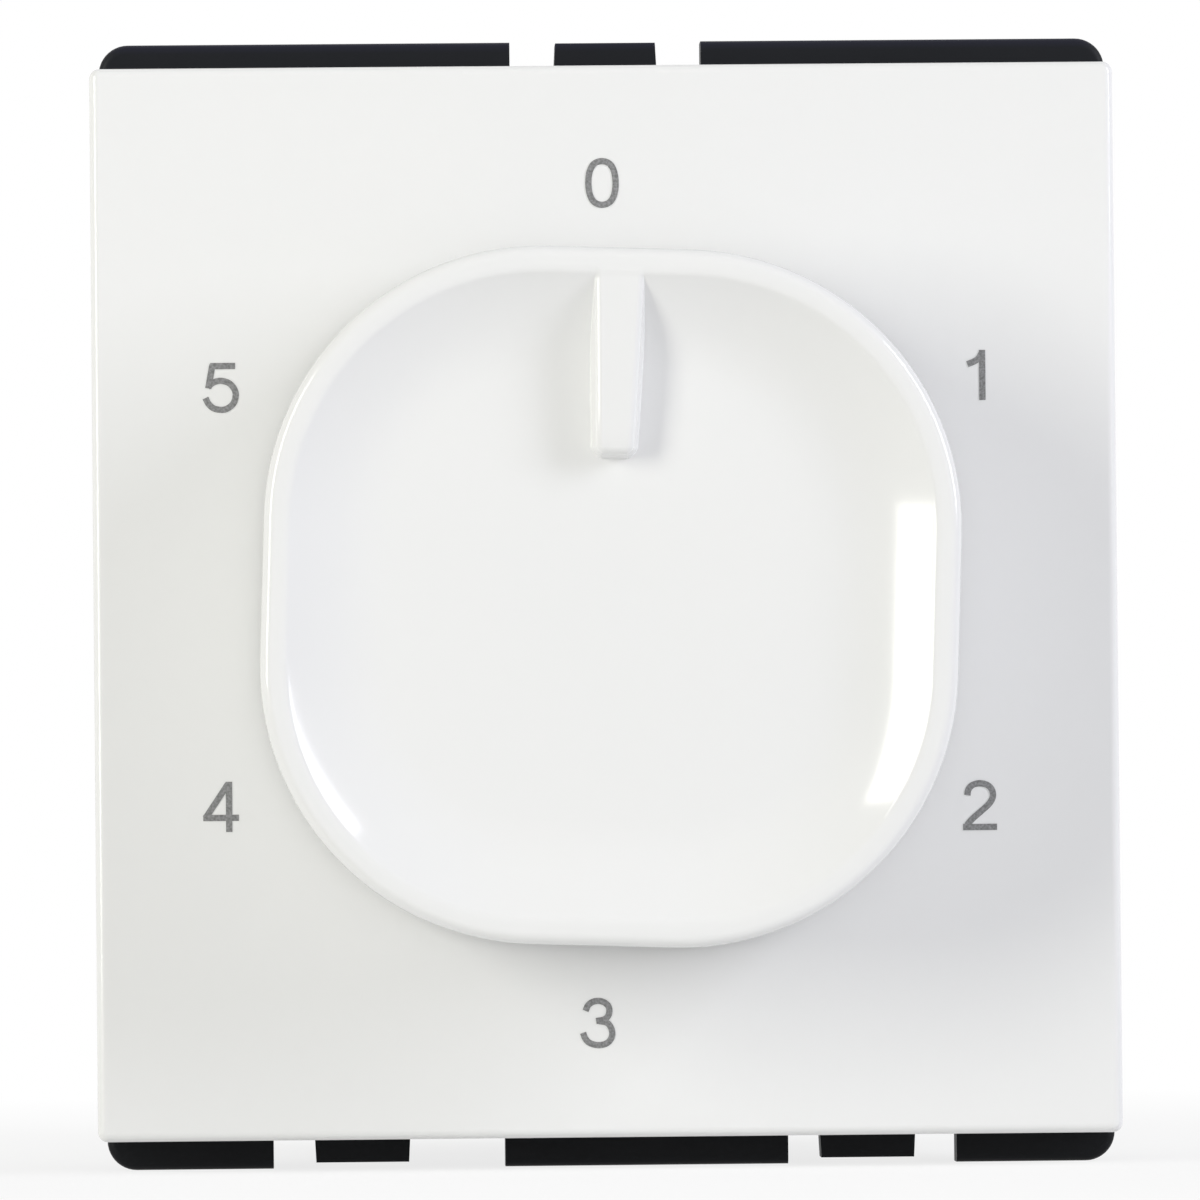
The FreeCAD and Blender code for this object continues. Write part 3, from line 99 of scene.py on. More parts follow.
class Finish:
    """The look of one real material, put together node by node and closed by surface()."""

    def __init__(self, name, holders=bpy.data.materials):
        self.material = holders.new(name)
        self.material.use_nodes = True
        self.tree = self.material.node_tree
        self.tree.nodes.clear()

    @property
    def place(self):
        """The place on the object, in metres."""
        return self.node("ShaderNodeTexCoord", output="Object")

    def node(self, kind, sockets=None, output=0, **settings):
        """One node: its settings, then the values or links of its sockets. Gives one output."""
        added = self.tree.nodes.new(kind)
        for name, value in settings.items():
            setattr(added, name, value)
        for name, value in (sockets or {}).items():
            if isinstance(value, Mark):
                self.tree.links.new(value.socket, added.inputs[name])
            else:
                added.inputs[name].default_value = value
        return Mark(self, added.outputs[output])

    def noise(self, across, detail=2.0, stretch=(1, 1, 1)):
        """Soft noise around a half, with blotches that many millimetres across."""
        place = self.node("ShaderNodeMapping", {"Vector": self.place, "Scale": stretch})
        sockets = {"Vector": place, "Scale": 1 / (across * MM), "Detail": detail}
        return self.node("ShaderNodeTexNoise", sockets)

    def axis(self, letter):
        """The place along one axis, in millimetres."""
        return self.node("ShaderNodeSeparateXYZ", {0: self.place}, output=letter) / MM

    def mixed(self, mask, low, high):
        """One colour where mask is 0, the other where it is 1."""
        ends = [c if isinstance(c, Mark) else (*c, 1) for c in (low, high)]
        sockets = {0: mask, 6: ends[0], 7: ends[1]}
        return self.node("ShaderNodeMix", sockets, output=2, data_type="RGBA")

    def surface(self, colour, roughness, height=None, depth=0.0, **fixed):
        """Closes the finish. height from 0 to 1 is raised by depth in millimetres."""
        sockets = {"Base Color": colour, "Roughness": roughness}
        if height is not None:
            raised = {"Height": height, "Distance": depth * MM, "Strength": 1.0}
            sockets["Normal"] = self.node("ShaderNodeBump", raised)
        for name, value in fixed.items():
            sockets[name.replace("_", " ")] = value
        return self.closed(self.node("ShaderNodeBsdfPrincipled", sockets))

    def closed(self, shader, end="ShaderNodeOutputMaterial"):
        """Links the last shader to the output node and gives the finished material."""
        output = self.tree.nodes.new(end)
        self.tree.links.new(shader.socket, output.inputs["Surface"])
        return self.material


def dress(material, *names):
    """Puts a material on CAD nodes."""
    for name in names:
        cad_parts[name].material_slots[0].material = material


laminate = Finish("paper_laminate")
fibres = laminate.noise(0.9, 5, (1, 1, 4))
clouds = laminate.noise(7.0, 3)
dress(
    laminate.surface(
        laminate.mixed(clouds * 0.7 + fibres * 0.3, (0.20, 0.125, 0.045), (0.42, 0.29, 0.12)),
        roughness=fibres * 0.15 + 0.42, height=fibres, depth=0.02, Specular_IOR_Level=0.4,
    ),
    "circuit_board",
)

# Contacts: five turned brass rivets and a stamped ring, seated flush in the switch's base with
# their pins soldered to the board, and the stamped wiper that is riveted to the spindle.
brass = Finish("rolled_brass")
tarnish = brass.noise(1.6, 4)
scratches = brass.noise(0.25, 3, (1, 6, 1))
brass_look = brass.surface(
    brass.mixed(tarnish, (0.78, 0.60, 0.30), (0.62, 0.44, 0.20)),
    roughness=scratches * 0.16 + tarnish * 0.12 + 0.16,
    height=scratches, depth=0.004, Metallic=1.0,
)
dress(brass_look, "common_contact", "moving_contact")
dress(brass_look, *[f"fixed_contact_{place}" for place in range(1, 6)])

# Switch base and cover: cream thermoset mouldings with a satin skin. The base stands on the
# board and holds the contacts, and the cover closes over it with a bush for the spindle.
thermoset = Finish("cream_thermoset")
grain = thermoset.noise(0.35, 4)
flow = thermoset.noise(9.0, 2)
dress(
    thermoset.surface(
        thermoset.mixed(flow, (0.70, 0.63, 0.47), (0.76, 0.70, 0.55)),
        roughness=grain * 0.12 + 0.36, height=grain, depth=0.008, Specular_IOR_Level=0.45,
    ),
    "switch_base", "switch_cover",
)

# Capacitors: wound film, sealed with resin in blue moulded boxes. They stand on small feet on
# the back of the board, held by their soldered leads.
box_blue = Finish("moulded_blue_box")
dimples = box_blue.noise(0.3, 3)
shade = box_blue.noise(5.0, 2)
dress(
    box_blue.surface(
        box_blue.mixed(shade, (0.045, 0.13, 0.30), (0.065, 0.17, 0.36)),
        roughness=dimples * 0.14 + 0.24, height=dimples, depth=0.010,
    ),
    "capacitor_large", "capacitor_small",
)

# Resistors: lacquered bodies with four painted bands round each. They lie over the back of the
# board on bent, tinned leads, two to the left of the middle and two to the right.
RESISTOR_MIDDLE = 7.4
LEAD_FROM = 4.15
BAND_HALF = 0.32
BANDS = (
    (-2.7, (0.32, 0.12, 0.03)), (-1.5, (0.02, 0.02, 0.02)),
    (-0.3, (0.02, 0.02, 0.02)), (2.3, (0.55, 0.36, 0.08)),
)
lacquer = Finish("resistor_lacquer")
runs = lacquer.noise(1.2, 3)
along = lacquer.axis("X").size() - RESISTOR_MIDDLE
paint = lacquer.mixed(runs, (0.20, 0.36, 0.42), (0.26, 0.43, 0.48))
for place, colour in BANDS:
    paint = lacquer.mixed((along - place).size() < BAND_HALF, paint, colour)
lead = along.size() > LEAD_FROM
paint = lacquer.mixed(lead, paint, (0.70, 0.70, 0.68))
dress(
    lacquer.surface(paint, roughness=runs * 0.12 + 0.28, height=runs, depth=0.02, Metallic=lead),
    *[f"resistor_{place}" for place in range(1, 5)],
)

# Terminals: tinned brass bars soldered to the board, brass cages that rise along the screws
# and clamp the wire, and zinc plated screws with slotted heads held in the housing's wells.
dress(brass_look, "terminal_bar_line", "terminal_bar_load")
dress(brass_look, "terminal_cage_line", "terminal_cage_load")
zinc = Finish("zinc_plate")
spangle = zinc.noise(0.7, 4)
turned = zinc.noise(0.12, 2, (1, 5, 1))
zinc_look = zinc.surface(
    zinc.mixed(spangle, (0.56, 0.57, 0.58), (0.70, 0.70, 0.69)),
    roughness=turned * 0.15 + spangle * 0.15 + 0.20, height=turned, depth=0.003, Metallic=1.0,
)
dress(zinc_look, "terminal_screw_line", "terminal_screw_load")

# Detent leaves and knob clip: spring steel strip, hardened and polished, seated in the cover
# and in the knob's hub.
spring = Finish("spring_strip")
rolled = spring.noise(0.4, 3, (0.2, 1, 1))
dress(
    spring.surface(
        spring.mixed(rolled, (0.55, 0.55, 0.56), (0.68, 0.68, 0.69)),
        roughness=rolled * 0.18 + 0.18, height=rolled, depth=0.002, Metallic=1.0,
    ),
    "detent_spring_upper", "detent_spring_lower", "knob_clip",
)

# Spindle: one acetal moulding with the detent wheel, end-stop lug and contact disc. It turns
# in the cover's bush and in the bearing at the back of the base.
acetal = Finish("acetal")
skin = acetal.noise(0.5, 3)
dress(
    acetal.surface(
        acetal.mixed(skin, (0.80, 0.79, 0.74), (0.86, 0.85, 0.81)),
        roughness=skin * 0.12 + 0.30, height=skin, depth=0.006,
    ),
    "spindle",
)

# Carrier: black moulding with a fine satin face. Its flange shows as bars round the plate,
# its tongues snap behind the support frame, and it holds the switch, plate and housing.
# Heights in millimetres over which a painted shade fades in at the flange's foot and a painted
# bluish sheen at its top.
PAINTED_SHADE_FOOT = (-24.0, -20.0)
PAINTED_SHEEN_TOP = (24.5, 24.95)
carrier = Finish("satin_black")
satin = carrier.noise(0.12, 4)
scuffs = carrier.noise(3.0, 3)
upwards = carrier.axis("Z")
pigment_shade_and_sheen = carrier.mixed(scuffs, (0.0058, 0.0068, 0.0092), (0.0092, 0.0102, 0.0130))
# Painted shade: the black is made darker towards the bottom of the flange, where less light falls.
pigment_shade_and_sheen = carrier.mixed(upwards.kept(*PAINTED_SHADE_FOOT), (0.0030, 0.0036, 0.0048), pigment_shade_and_sheen)
# Painted highlight: a paler, bluish sheen is painted along the flange's top edge, standing in for a
# reflection of light from above.
pigment_shade_and_sheen = carrier.mixed(upwards.kept(*PAINTED_SHEEN_TOP), pigment_shade_and_sheen, (0.0110, 0.0115, 0.0230))
dress(
    carrier.surface(
        pigment_shade_and_sheen, roughness=satin * 0.12 + scuffs * 0.10 + 0.38,
        height=satin, depth=0.006, Specular_IOR_Level=0.15,
    ),
    "carrier_frame",
)

# Rear housing: light grey moulding with a fine spark-eroded texture, held by two screws. Its
# back shows four round ejector marks and a shallow, smooth, bare panel.
EJECTOR_AT = (15.0, 17.5)
EJECTOR_RADIUS = 2.0
PANEL_MIDDLE = 9.0
PANEL_HALF = (11.0, 4.0)
STEP_WIDE = 0.18
housing = Finish("textured_grey")
spark = housing.noise(0.22, 4)
cloud = housing.noise(8.0, 2)
across, upwards = housing.axis("X"), housing.axis("Z")
aside, above = (place.size() - middle for place, middle in zip((across, upwards), EJECTOR_AT))
from_mark = aside * aside + above * above
round_marks = from_mark.kept(EJECTOR_RADIUS**2, (EJECTOR_RADIUS + STEP_WIDE) ** 2)
places = (across, upwards - PANEL_MIDDLE)
aside, above = (place.size() - half for place, half in zip(places, PANEL_HALF))
panel = aside.larger(above).kept(0, STEP_WIDE)
dress(
    housing.surface(
        housing.mixed(cloud, (0.60, 0.61, 0.60), (0.66, 0.67, 0.66)),
        roughness=spark * 0.18 + panel * 0.14 + 0.28,
        height=spark * 0.08 + round_marks * 0.42 + panel * 0.5, depth=0.30,
        Specular_IOR_Level=0.4,
    ),
    "rear_housing",
)
dress(zinc_look, "housing_screw_left", "housing_screw_right")

# Front plate: white moulding, polished and very slightly rippled, with a hole for the switch's
# bush. It is snapped over the carrier's collar.
white = Finish("polished_white")
ripple = white.noise(2.6, 1)
bloom = white.noise(11.0, 2)
dust = white.noise(0.16, 2)
white_look = white.surface(
    white.mixed(bloom, (0.835, 0.840, 0.838), (0.848, 0.850, 0.846)),
    roughness=bloom * 0.04 + dust * 0.03 + 0.085, height=ripple, depth=0.0005, IOR=1.49,
)
dress(white_look, "front_plate")

# Digits 0 to 5: dark grey print, a few hundredths thick, round the knob on the plate's face.
# Each is drawn in strokes of one width through places given from the digit's own middle. Every
# further stroke of a digit is a little thinner, so that no two faces lie in one plane.
PLATE_FACE = -7.0
PRINT_THICK = 0.025
THINNER_BY = 0.002
STROKE_WIDE = 0.275
STEPS_BETWEEN = 8
DIGITS = {
    "0": ((-0.02, 18.35), [
        [(0, 0.96), (0.33, 0.85), (0.53, 0.52), (0.60, 0.0), (0.53, -0.52), (0.33, -0.85),
         (0, -0.96), (-0.33, -0.85), (-0.53, -0.52), (-0.60, 0.0), (-0.53, 0.52),
         (-0.33, 0.85), (0, 0.96)],
    ]),
    "1": ((16.35, 9.77), [
        [(0.27, 1.10), (0.27, -1.10)],
        [(0.24, 0.94), (0.10, 0.72), (-0.12, 0.58), (-0.38, 0.48)],
    ]),
    "2": ((16.33, -9.13), [
        [(-0.55, 0.44), (-0.50, 0.69), (-0.31, 0.89), (0.01, 0.96), (0.33, 0.88), (0.53, 0.67),
         (0.57, 0.37), (0.43, 0.09), (0.15, -0.18), (-0.25, -0.52), (-0.51, -0.79),
         (-0.64, -1.02)],
        [(-0.75, -0.96), (0.74, -0.96)],
    ]),
    "3": ((-0.54, -18.53), [
        [(-0.54, 0.54), (-0.43, 0.78), (-0.22, 0.93), (0.05, 0.97), (0.32, 0.88), (0.49, 0.66),
         (0.47, 0.36), (0.28, 0.16), (-0.08, 0.09)],
        [(0.05, 0.09), (0.41, 0.0), (0.60, -0.30), (0.59, -0.63), (0.39, -0.88), (0.02, -0.97),
         (-0.37, -0.87), (-0.57, -0.66), (-0.66, -0.42)],
    ]),
    "4": ((-16.98, -8.90), [
        [(0.35, 1.10), (0.35, -1.10)],
        [(0.31, 1.00), (-0.69, -0.50)],
        [(-0.78, -0.48), (0.78, -0.48)],
    ]),
    "5": ((-16.82, 9.48), [
        [(-0.47, 0.96), (0.62, 0.96)],
        [(-0.37, 1.02), (-0.56, -0.02)],
        [(-0.58, 0.05), (-0.33, 0.24), (0.0, 0.31), (0.36, 0.20), (0.58, -0.06), (0.64, -0.34),
         (0.53, -0.69), (0.24, -0.92), (-0.03, -0.96), (-0.34, -0.89), (-0.56, -0.69),
         (-0.69, -0.44)],
    ]),
}
ink = Finish("grey_print")
speck = ink.noise(0.11, 3)
ink_look = ink.surface(
    ink.mixed(speck.kept(0.35, 0.65), (0.150, 0.152, 0.154), (0.285, 0.287, 0.290)),
    roughness=speck * 0.2 + 0.4, height=speck, depth=0.004,
)


def shown(name, points, faces, material, body="root", sharp=40.0):
    """A mesh object at the origin from points in millimetres, smooth but for its sharp edges."""
    mesh = bpy.data.meshes.new(name)
    mesh.from_pydata((np.asarray(points) * MM).tolist(), [], faces)
    mesh.shade_smooth()
    mesh.set_sharp_from_angle(angle=math.radians(sharp))
    mesh.materials.append(material)
    piece = bpy.data.objects.new(name, mesh)
    bpy.context.scene.collection.objects.link(piece)
    if body:
        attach(piece, body)
    return piece


def joined_rings(rings):
    """Points and faces of a closed surface through rings of equally many points: squares from
    each ring to the next, and one flat face in the first ring and in the last. The faces are
    turned round where the squares' areas times their way from the middle add up below zero."""
    rings = np.asarray(rings, float)
    count, around = rings.shape[:2]
    grid = np.arange(count * around).reshape(count, around)
    after = np.roll(grid, -1, axis=1)
    squares = np.stack([grid[:-1], after[:-1], after[1:], grid[1:]], axis=-1).reshape(-1, 4)
    points = rings.reshape(-1, 3)
    corners = points[squares]
    areas = np.cross(corners[:, 2] - corners[:, 0], corners[:, 3] - corners[:, 1]) / 2
    from_middle = corners.mean(axis=1) - points.mean(axis=0)
    faces = squares.tolist() + [grid[0][::-1].tolist(), grid[-1].tolist()]
    if (areas * from_middle).sum() < 0:
        faces = [face[::-1] for face in faces]
    return points, faces


def together(parts):
    """Points and faces of several closed surfaces as one list each."""
    first = np.cumsum([0] + [len(points) for points, _ in parts])
    faces = []
    for (_, part), start in zip(parts, first):
        faces += [[index + start for index in face] for face in part]
    return np.vstack([points for points, _ in parts]), faces


def line_through(places):
    """A smooth line through places: between two of them a cubic, whose slope at each place is
    half the step between its neighbours. It closes where the first and last place are one."""
    places = np.array(places, float)
    if np.allclose(places[0], places[-1]):
        before, behind = places[-2], places[1]
    else:
        before, behind = 2 * places[0] - places[1], 2 * places[-1] - places[-2]
    full = np.vstack((before, places, behind))
    slope = (full[2:] - full[:-2]) / 2
    share = np.linspace(0, 1, STEPS_BETWEEN + 1)[:-1, None, None]
    line = (
        (2 * share**3 - 3 * share**2 + 1) * places[:-1]
        + (share**3 - 2 * share**2 + share) * slope[:-1]
        + (3 * share**2 - 2 * share**3) * places[1:]
        + (share**3 - share**2) * slope[1:]
    )
    return np.vstack((line.transpose(1, 0, 2).reshape(-1, 2), places[-1]))


def section(flat, y):
    """A ring at y from the places of a flat outline across and up."""
    return np.c_[flat[:, 0], np.full(len(flat), y), flat[:, 1]]


def stroke(places, middle, thick):
    """One printed stroke: a flat box section carried along the line through its places."""
    line = line_through(places)
    run = np.gradient(line, axis=0)
    if np.allclose(line[0], line[-1]):
        run[0] = run[-1] = line[1] - line[-2]
    aside = np.c_[-run[:, 1], run[:, 0]] / np.hypot(*run.T)[:, None] * STROKE_WIDE / 2
    front = PLATE_FACE - thick
    edges = (
        (line + aside, front), (line - aside, front),
        (line - aside, PLATE_FACE), (line + aside, PLATE_FACE),
    )
    return joined_rings(np.stack([section(edge + middle, y) for edge, y in edges], axis=1))


for digit, (middle, strokes) in DIGITS.items():
    drawn = [
        stroke(places, middle, PRINT_THICK - THINNER_BY * step)
        for step, places in enumerate(strokes)
    ]
    shown(f"digit_{digit}", *together(drawn), ink_look)

# Knob: one white polished moulding on the spindle's flat, a rounded square with a narrow rim,
# a dish inside it, and a pointer rib across the dish. It leans 2 degrees past the digit 0.
KNOB_BACK = -7.5
KNOB_FRONT = -16.0
KNOB_HALF = 15.1
KNOB_CORNER = 12.0
KNOB_DRAFT = 0.4
KNOB_LEAN = 2.0
KNOB_WALL = 2.0
KNOB_INSIDE = -12.2
INNERMOST = 11.8
INNER_BREAK = 0.3
RIM_ROUND = 0.50
BACK_ROUND = 0.20
BACK_BREAK = 0.1
RIM_FLAT = 0.75
# Slope of the face in degrees at distances inside the outline: flat rim, steep wall, floor.
FACE_SLOPES = (
    (0, 0), (RIM_FLAT, 0), (1.0, 11), (1.2, 33), (1.35, 31),
    (3.2, 22), (5.4, 2), (7.5, 0), (40, 0),
)
POINTER_HALF = 1.10
POINTER_WIDENS = 0.033
POINTER_WIDENS_FROM = 1.0
POINTER_WIDENS_LONG = 8.0
POINTER_END = 5.85
POINTER_START = 15.5
POINTER_CORNER = 0.75
POINTER_TOP = 0.02
POINTER_SINK = 0.050
POINTER_SINKS_FROM = 14.3
POINTER_DROOP = 0.20
POINTER_DROOP_LONG = 0.9
POINTER_FILLET = 0.12
# Slope of the rib at distances outside its own outline: flat top, broken edge, steep wall.
POINTER_SLOPES = ((-9, 0), (-0.56, 0), (-0.48, 18), (-0.32, 38), (-0.27, 80), (9, 80))
HUB_RADIUS = 5.0
HUB_END = -7.3
HUB_BREAK = 0.2
HUB_ROOT = 0.4
BORE_RADIUS = 3.03
BORE_FLAT = 2.03
BORE_FLARE = 1.03
BORE_BREAK = 0.1
WEB_HALF = 0.6
WEB_BACK = -9.0
WEB_ROOT = 0.3
WALL_ROOT = 0.4
NEARLY_SHUT = 0.05


def lowered(slopes, at):
    """Depth at each place: the tangent of the slope, which runs straight between the places
    given, added up from the first of them."""
    fine = np.linspace(slopes[0][0], slopes[-1][0], 20001)
    steep = np.tan(np.radians(np.interp(fine, *zip(*slopes))))
    total = np.concatenate(([0], np.cumsum((steep[1:] + steep[:-1]) / 2 * np.diff(fine))))
    return np.interp(at, fine, total)


def along_side(low, high, middle_only=False):
    """Places along the pointer's side of the square, close together at the rib's two walls."""
    if middle_only:
        return np.linspace(low, high, 9)
    wall = np.concatenate((np.linspace(-0.58, 0.10, 44), np.linspace(0.13, 0.40, 9)))
    walls = np.concatenate((-POINTER_HALF - wall, POINTER_HALF + wall))
    return np.sort(np.concatenate(([low, -2.2, -0.2, 0.2, 2.2, high], walls)))


# The outline's places: each stands at a foot on a small square, pushed out along its normal.
straight_half = KNOB_HALF - KNOB_CORNER
feet, outwards = [], []
for quarter in range(4):
    turn = np.radians(90 * quarter)
    side = along_side(-straight_half, straight_half, middle_only=quarter != 0)[:-1]
    straight = np.c_[side, np.full_like(side, straight_half)]
    bend = np.linspace(0, math.pi / 2, 27)[:-1]
    feet_here = np.vstack((straight, np.full((bend.size, 2), straight_half)))
    out_here = np.vstack((np.tile([0.0, 1.0], (side.size, 1)), np.c_[np.sin(bend), np.cos(bend)]))
    spin = np.array([[math.cos(turn), -math.sin(turn)], [math.sin(turn), math.cos(turn)]])
    feet.append(feet_here @ spin)
    outwards.append(out_here @ spin)
feet, outwards = np.vstack(feet), np.vstack(outwards)


def outline(inset, y):
    """The knob's outline moved in by inset, at y: each foot pushed out by the corner's radius
    less the inset."""
    return section(feet + outwards * (KNOB_CORNER - inset), y)


def face_depth(points, inside):
    """Depth of the knob's face: the dish by the distance inside the outline, or the pointer rib
    by the distance from its own outline, whichever is nearer the front, with a small fillet.
    The rib widens evenly towards the rim. Its top sinks evenly on its way in, and by a parabola
    over the last of its length."""
    dish = lowered(FACE_SLOPES, inside)
    half_long = (POINTER_START - POINTER_END) / 2
    past_end = points[:, 2] - POINTER_END
    widened = POINTER_WIDENS * np.clip(past_end - POINTER_WIDENS_FROM, 0, POINTER_WIDENS_LONG)
    off_x = np.abs(points[:, 0]) - POINTER_HALF - widened + POINTER_CORNER
    off_z = np.abs(past_end - half_long) - half_long + POINTER_CORNER
    corner = np.hypot(np.maximum(off_x, 0), np.maximum(off_z, 0))
    away = corner + np.minimum(np.maximum(off_x, off_z), 0) - POINTER_CORNER
    from_rim = np.clip(POINTER_SINKS_FROM - points[:, 2], 0, None)
    near_end = np.clip(1 - past_end / POINTER_DROOP_LONG, 0, 1)
    top = POINTER_TOP + POINTER_SINK * from_rim + POINTER_DROOP * near_end**2
    rib = lowered(POINTER_SLOPES, away) + top
    blend = np.clip(0.5 + (rib - dish) / (2 * POINTER_FILLET), 0, 1)
    both = rib * (1 - blend) + dish * blend - POINTER_FILLET * blend * (1 - blend)
    return np.maximum(np.where(inside < RIM_FLAT, dish, both), 0)


def leaned(points):
    """Points turned clockwise by the knob's lean about its axis, as seen from the front."""
    lean = math.radians(KNOB_LEAN)
    x, y, z = np.asarray(points).T
    leaned_x = x * math.cos(lean) + z * math.sin(lean)
    return np.c_[leaned_x, y, z * math.cos(lean) - x * math.sin(lean)]


# The knob's rings run from the middle of its hollow back over the foot and the rim to the face.
drawn_in = (KNOB_BACK - KNOB_FRONT) * math.tan(math.radians(KNOB_DRAFT))
rings = [outline(INNERMOST, KNOB_INSIDE) * (0.1, 1, 0.1)]
rings += [outline(inset, y) for inset, y in (
    (INNERMOST, KNOB_INSIDE), (6.0, KNOB_INSIDE), (KNOB_WALL + INNER_BREAK, KNOB_INSIDE),
    (KNOB_WALL, KNOB_INSIDE + INNER_BREAK), (KNOB_WALL, KNOB_BACK - BACK_BREAK),
    (KNOB_WALL - BACK_BREAK, KNOB_BACK),
)]
for bend in np.linspace(0, math.pi / 2, 5):
    y = KNOB_BACK - BACK_ROUND * (1 - math.cos(bend))
    rings.append(outline(BACK_ROUND * (1 - math.sin(bend)), y))
for bend in np.linspace(0, math.pi / 2, 12):
    y = KNOB_FRONT + RIM_ROUND * (1 - math.sin(bend))
    rings.append(outline(drawn_in + RIM_ROUND * (1 - math.cos(bend)), y))
# Rings of the face lie close together on the rim, on the dish's wall and at the rib's end.
end_at = KNOB_HALF - drawn_in - POINTER_END
insides = np.concatenate((
    [0.6], np.linspace(RIM_FLAT, 1.40, 20), np.linspace(1.5, 5.6, 56), [6.2, 7.0, 7.8],
    end_at + np.linspace(-0.60, -0.24, 22), end_at + np.linspace(-0.20, 0.55, 20),
    [10.2, 10.9, 11.5],
))
for inside in insides:
    ring = outline(drawn_in + inside, KNOB_FRONT)
    ring[:, 1] += face_depth(ring, np.full(len(ring), inside))
    rings.append(ring)
for share in (0.75, 0.5, 0.25, NEARLY_SHUT):
    ring = outline(drawn_in + insides[-1], KNOB_FRONT) * (share, 1, share)
    ring[:, 1] += face_depth(ring, np.full(len(ring), insides[-1]))
    rings.append(ring)
parts = [joined_rings(rings)]

# The hub behind the face, with its D bore, and four webs from the hub to the wall.
turn = np.linspace(0, 2 * math.pi, 97)[:-1]
round_out = np.c_[np.sin(turn), np.cos(turn)]
bore = round_out * BORE_RADIUS
bore[:, 1] = np.minimum(bore[:, 1], BORE_FLAT)
hub = [section(flat, y) for flat, y in (
    (round_out * HUB_RADIUS, KNOB_INSIDE - HUB_ROOT), (round_out * HUB_RADIUS, HUB_END - HUB_BREAK),
    (round_out * (HUB_RADIUS - HUB_BREAK), HUB_END), (bore * BORE_FLARE, HUB_END),
    (bore, HUB_END - BORE_BREAK), (bore, KNOB_INSIDE), (bore * NEARLY_SHUT, KNOB_INSIDE),
)]
hub.insert(0, hub[0] * (NEARLY_SHUT, 1, NEARLY_SHUT))
parts.append(joined_rings(hub))
near, far = HUB_RADIUS - WEB_ROOT, KNOB_HALF - KNOB_WALL + WALL_ROOT
for sideways in ([1, 0], [0, 1]):
    for sign in (-1, 1):
        along_web = np.array([near, far, far, near]) * sign
        across_web = np.array([-1, -1, 1, 1]) * WEB_HALF
        web = np.c_[along_web, across_web][:, sideways]
        parts.append(joined_rings([section(web, y) for y in (KNOB_INSIDE - WEB_ROOT, WEB_BACK)]))
points, faces = together(parts)
knob = shown("dial_knob", leaned(points), faces, white_look, "rotor", sharp=50.0)
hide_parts("knob")

# Floor: a plain, pale, matt sheet that the object stands on, as wide as the camera can see. To
# the camera it is white, and keeps a faint shadow close to the object.
FLOOR_AT = -24.96
FLOOR_HALF = 1500.0
SHADOW_FADES = (0.03, 0.12)
SHADOW_SHARE = 0.2


def background_rays(finish):
    """1 for rays that show the background: the camera's, and those in gloss and through glass."""
    kinds = ("Is Camera Ray", "Is Glossy Ray", "Is Transmission Ray")
    seen, in_gloss, through_glass = (
        finish.node("ShaderNodeLightPath", output=kind) for kind in kinds
    )
    return (seen + in_gloss + through_glass).kept(0, 1)


sheet = Finish("pale_floor")
away = sheet.node("ShaderNodeVectorMath", {0: sheet.place}, output="Value", operation="LENGTH")
mottle = sheet.mixed(sheet.noise(40.0), (0.86, 0.86, 0.86), (0.89, 0.89, 0.89))
paper = sheet.node("ShaderNodeBsdfDiffuse", {"Color": mottle})
glow = sheet.node("ShaderNodeEmission", {"Color": (1, 1, 1, 1), "Strength": 1.0})
fading = away.kept(*SHADOW_FADES) * SHADOW_SHARE + (1 - SHADOW_SHARE)
whiteness = background_rays(sheet) * fading
sheet.closed(sheet.node("ShaderNodeMixShader", {0: whiteness, 1: paper, 2: glow}))
turns = ((-1, -1), (1, -1), (1, 1), (-1, 1))
corners = [(x * FLOOR_HALF, y * FLOOR_HALF, FLOOR_AT) for x, y in turns]
shown("floor_sheet", corners, [[0, 1, 2, 3]], sheet.material, body=None)

# Studio: even light from all round, white where the camera looks, a tall warm soft box to the
# left and a cooler one far to the right and above.
EVEN_LIGHT = 0.432
BOX_AWAY = 0.6
scene = bpy.context.scene
scene.view_settings.view_transform = "Standard"
studio = Finish("studio", bpy.data.worlds)
strength = background_rays(studio) * (1 - EVEN_LIGHT) + EVEN_LIGHT
backdrop = studio.node("ShaderNodeBackground", {"Color": (1, 1, 1, 1), "Strength": strength})
scene.world = studio.closed(backdrop, "ShaderNodeOutputWorld")


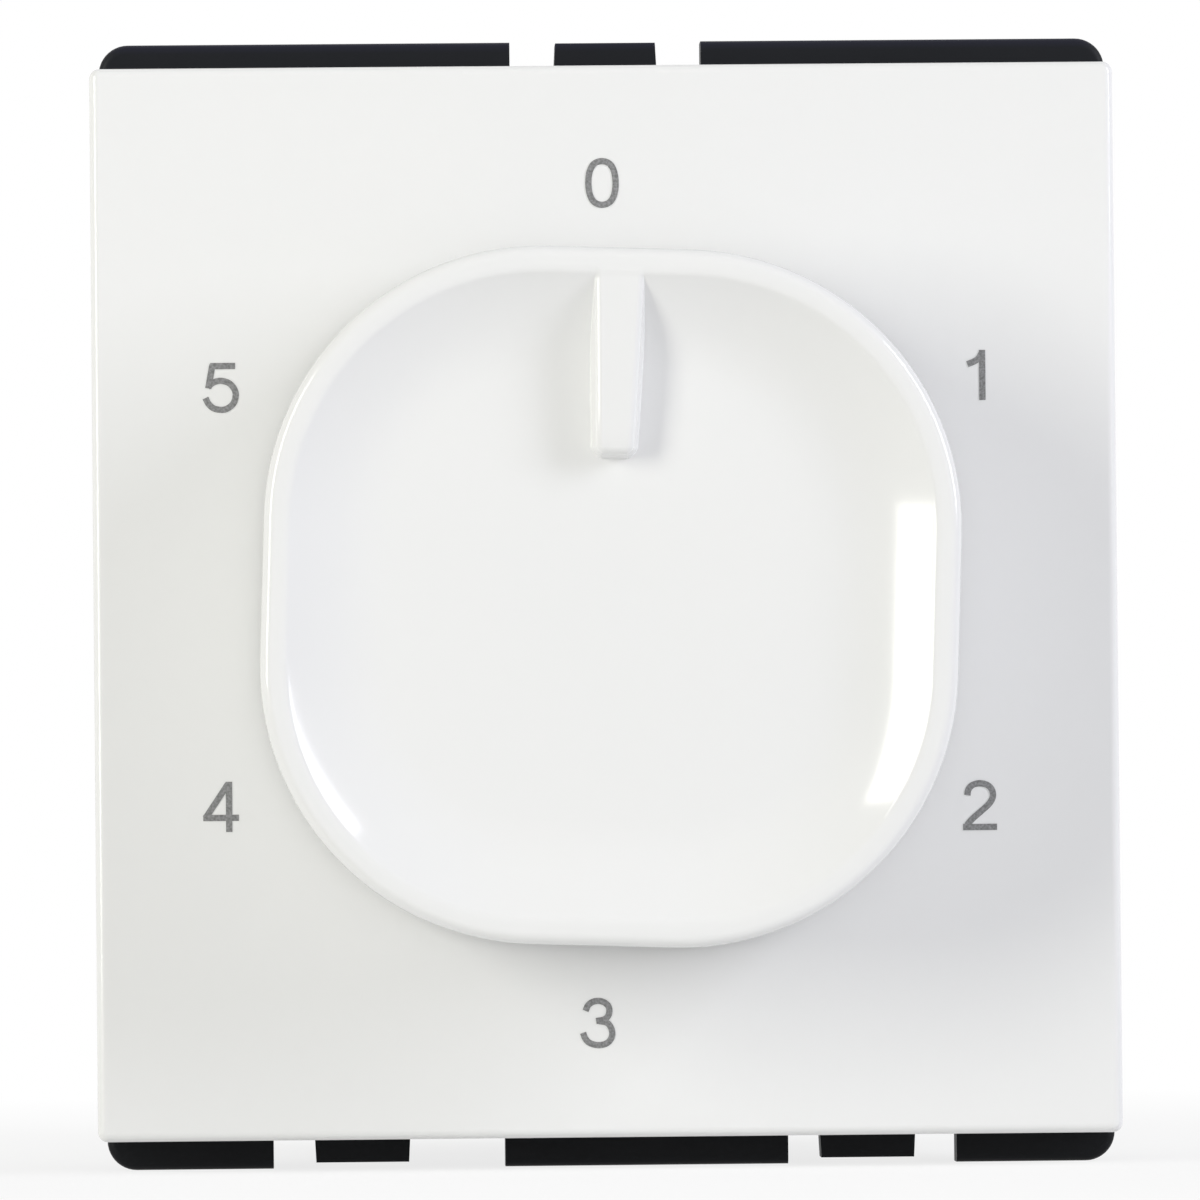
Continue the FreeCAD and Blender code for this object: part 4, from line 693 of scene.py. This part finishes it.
def soft_box(name, off_axis, above, lean, wide, tall, power, colour):
    """A soft box that stands off_axis degrees from the knob's axis, to the left where that is
    negative, and above degrees round the axis from the level. It faces the object and is
    turned about its own middle by lean degrees. Sizes are in metres and power in watts."""
    lamp = bpy.data.lights.new(name, "AREA")
    lamp.shape = "RECTANGLE"
    lamp.size, lamp.size_y = wide, tall
    lamp.energy = power
    lamp.color = colour
    off, up = math.radians(abs(off_axis)), math.radians(above)
    side = math.copysign(math.sin(off) * math.cos(up), off_axis)
    where = Vector((side, -math.cos(off), math.sin(off) * math.sin(up)))
    holder = bpy.data.objects.new(name, lamp)
    facing = where.to_track_quat("Z", "Y").to_matrix().to_4x4()
    leaning = Matrix.Rotation(math.radians(lean), 4, "Z")
    holder.matrix_world = Matrix.Translation(where * BOX_AWAY) @ facing @ leaning
    holder.visible_camera = False
    scene.collection.objects.link(holder)


soft_box(
    "left_box", off_axis=-52, above=13, lean=0, wide=0.17, tall=0.40,
    power=2.106, colour=(1.0, 0.991, 0.906),
)
soft_box(
    "right_box", off_axis=66, above=23, lean=20, wide=0.17, tall=0.37,
    power=1.876, colour=(0.921, 0.925, 1.0),
)

# Camera: a long lens 0.45 m in front of the plate, a little to its left and below, and rolled
# by half a degree. The focal length is worked out from its size in pixels of the picture.
AIM = Vector((-0.277, -7.0, 0.026)) * MM
AWAY = 0.450
SWING, RISE, ROLL = math.radians(-1.40), math.radians(-1.17), math.radians(0.539)
SENSOR_WIDE = 36.0
PICTURE_WIDE = 1200.0
FOCAL_PIXELS = 10252.0
level = math.cos(RISE)
back = Vector((math.sin(SWING) * level, -math.cos(SWING) * level, math.sin(RISE)))
right = Vector((0, 0, 1)).cross(back).normalized()
upright = back.cross(right)
tilted_right = right * math.cos(ROLL) - upright * math.sin(ROLL)
tilted_up = upright * math.cos(ROLL) + right * math.sin(ROLL)
eye = bpy.data.cameras.new("eye")
eye.sensor_width = SENSOR_WIDE
eye.lens = SENSOR_WIDE * FOCAL_PIXELS / PICTURE_WIDE
eye.clip_start, eye.clip_end = 0.01, 20.0
camera = bpy.data.objects.new("eye", eye)
turned_to = Matrix((tilted_right, tilted_up, back)).transposed().to_4x4()
camera.matrix_world = Matrix.Translation(AIM + back * AWAY) @ turned_to
scene.collection.objects.link(camera)
scene.camera = camera
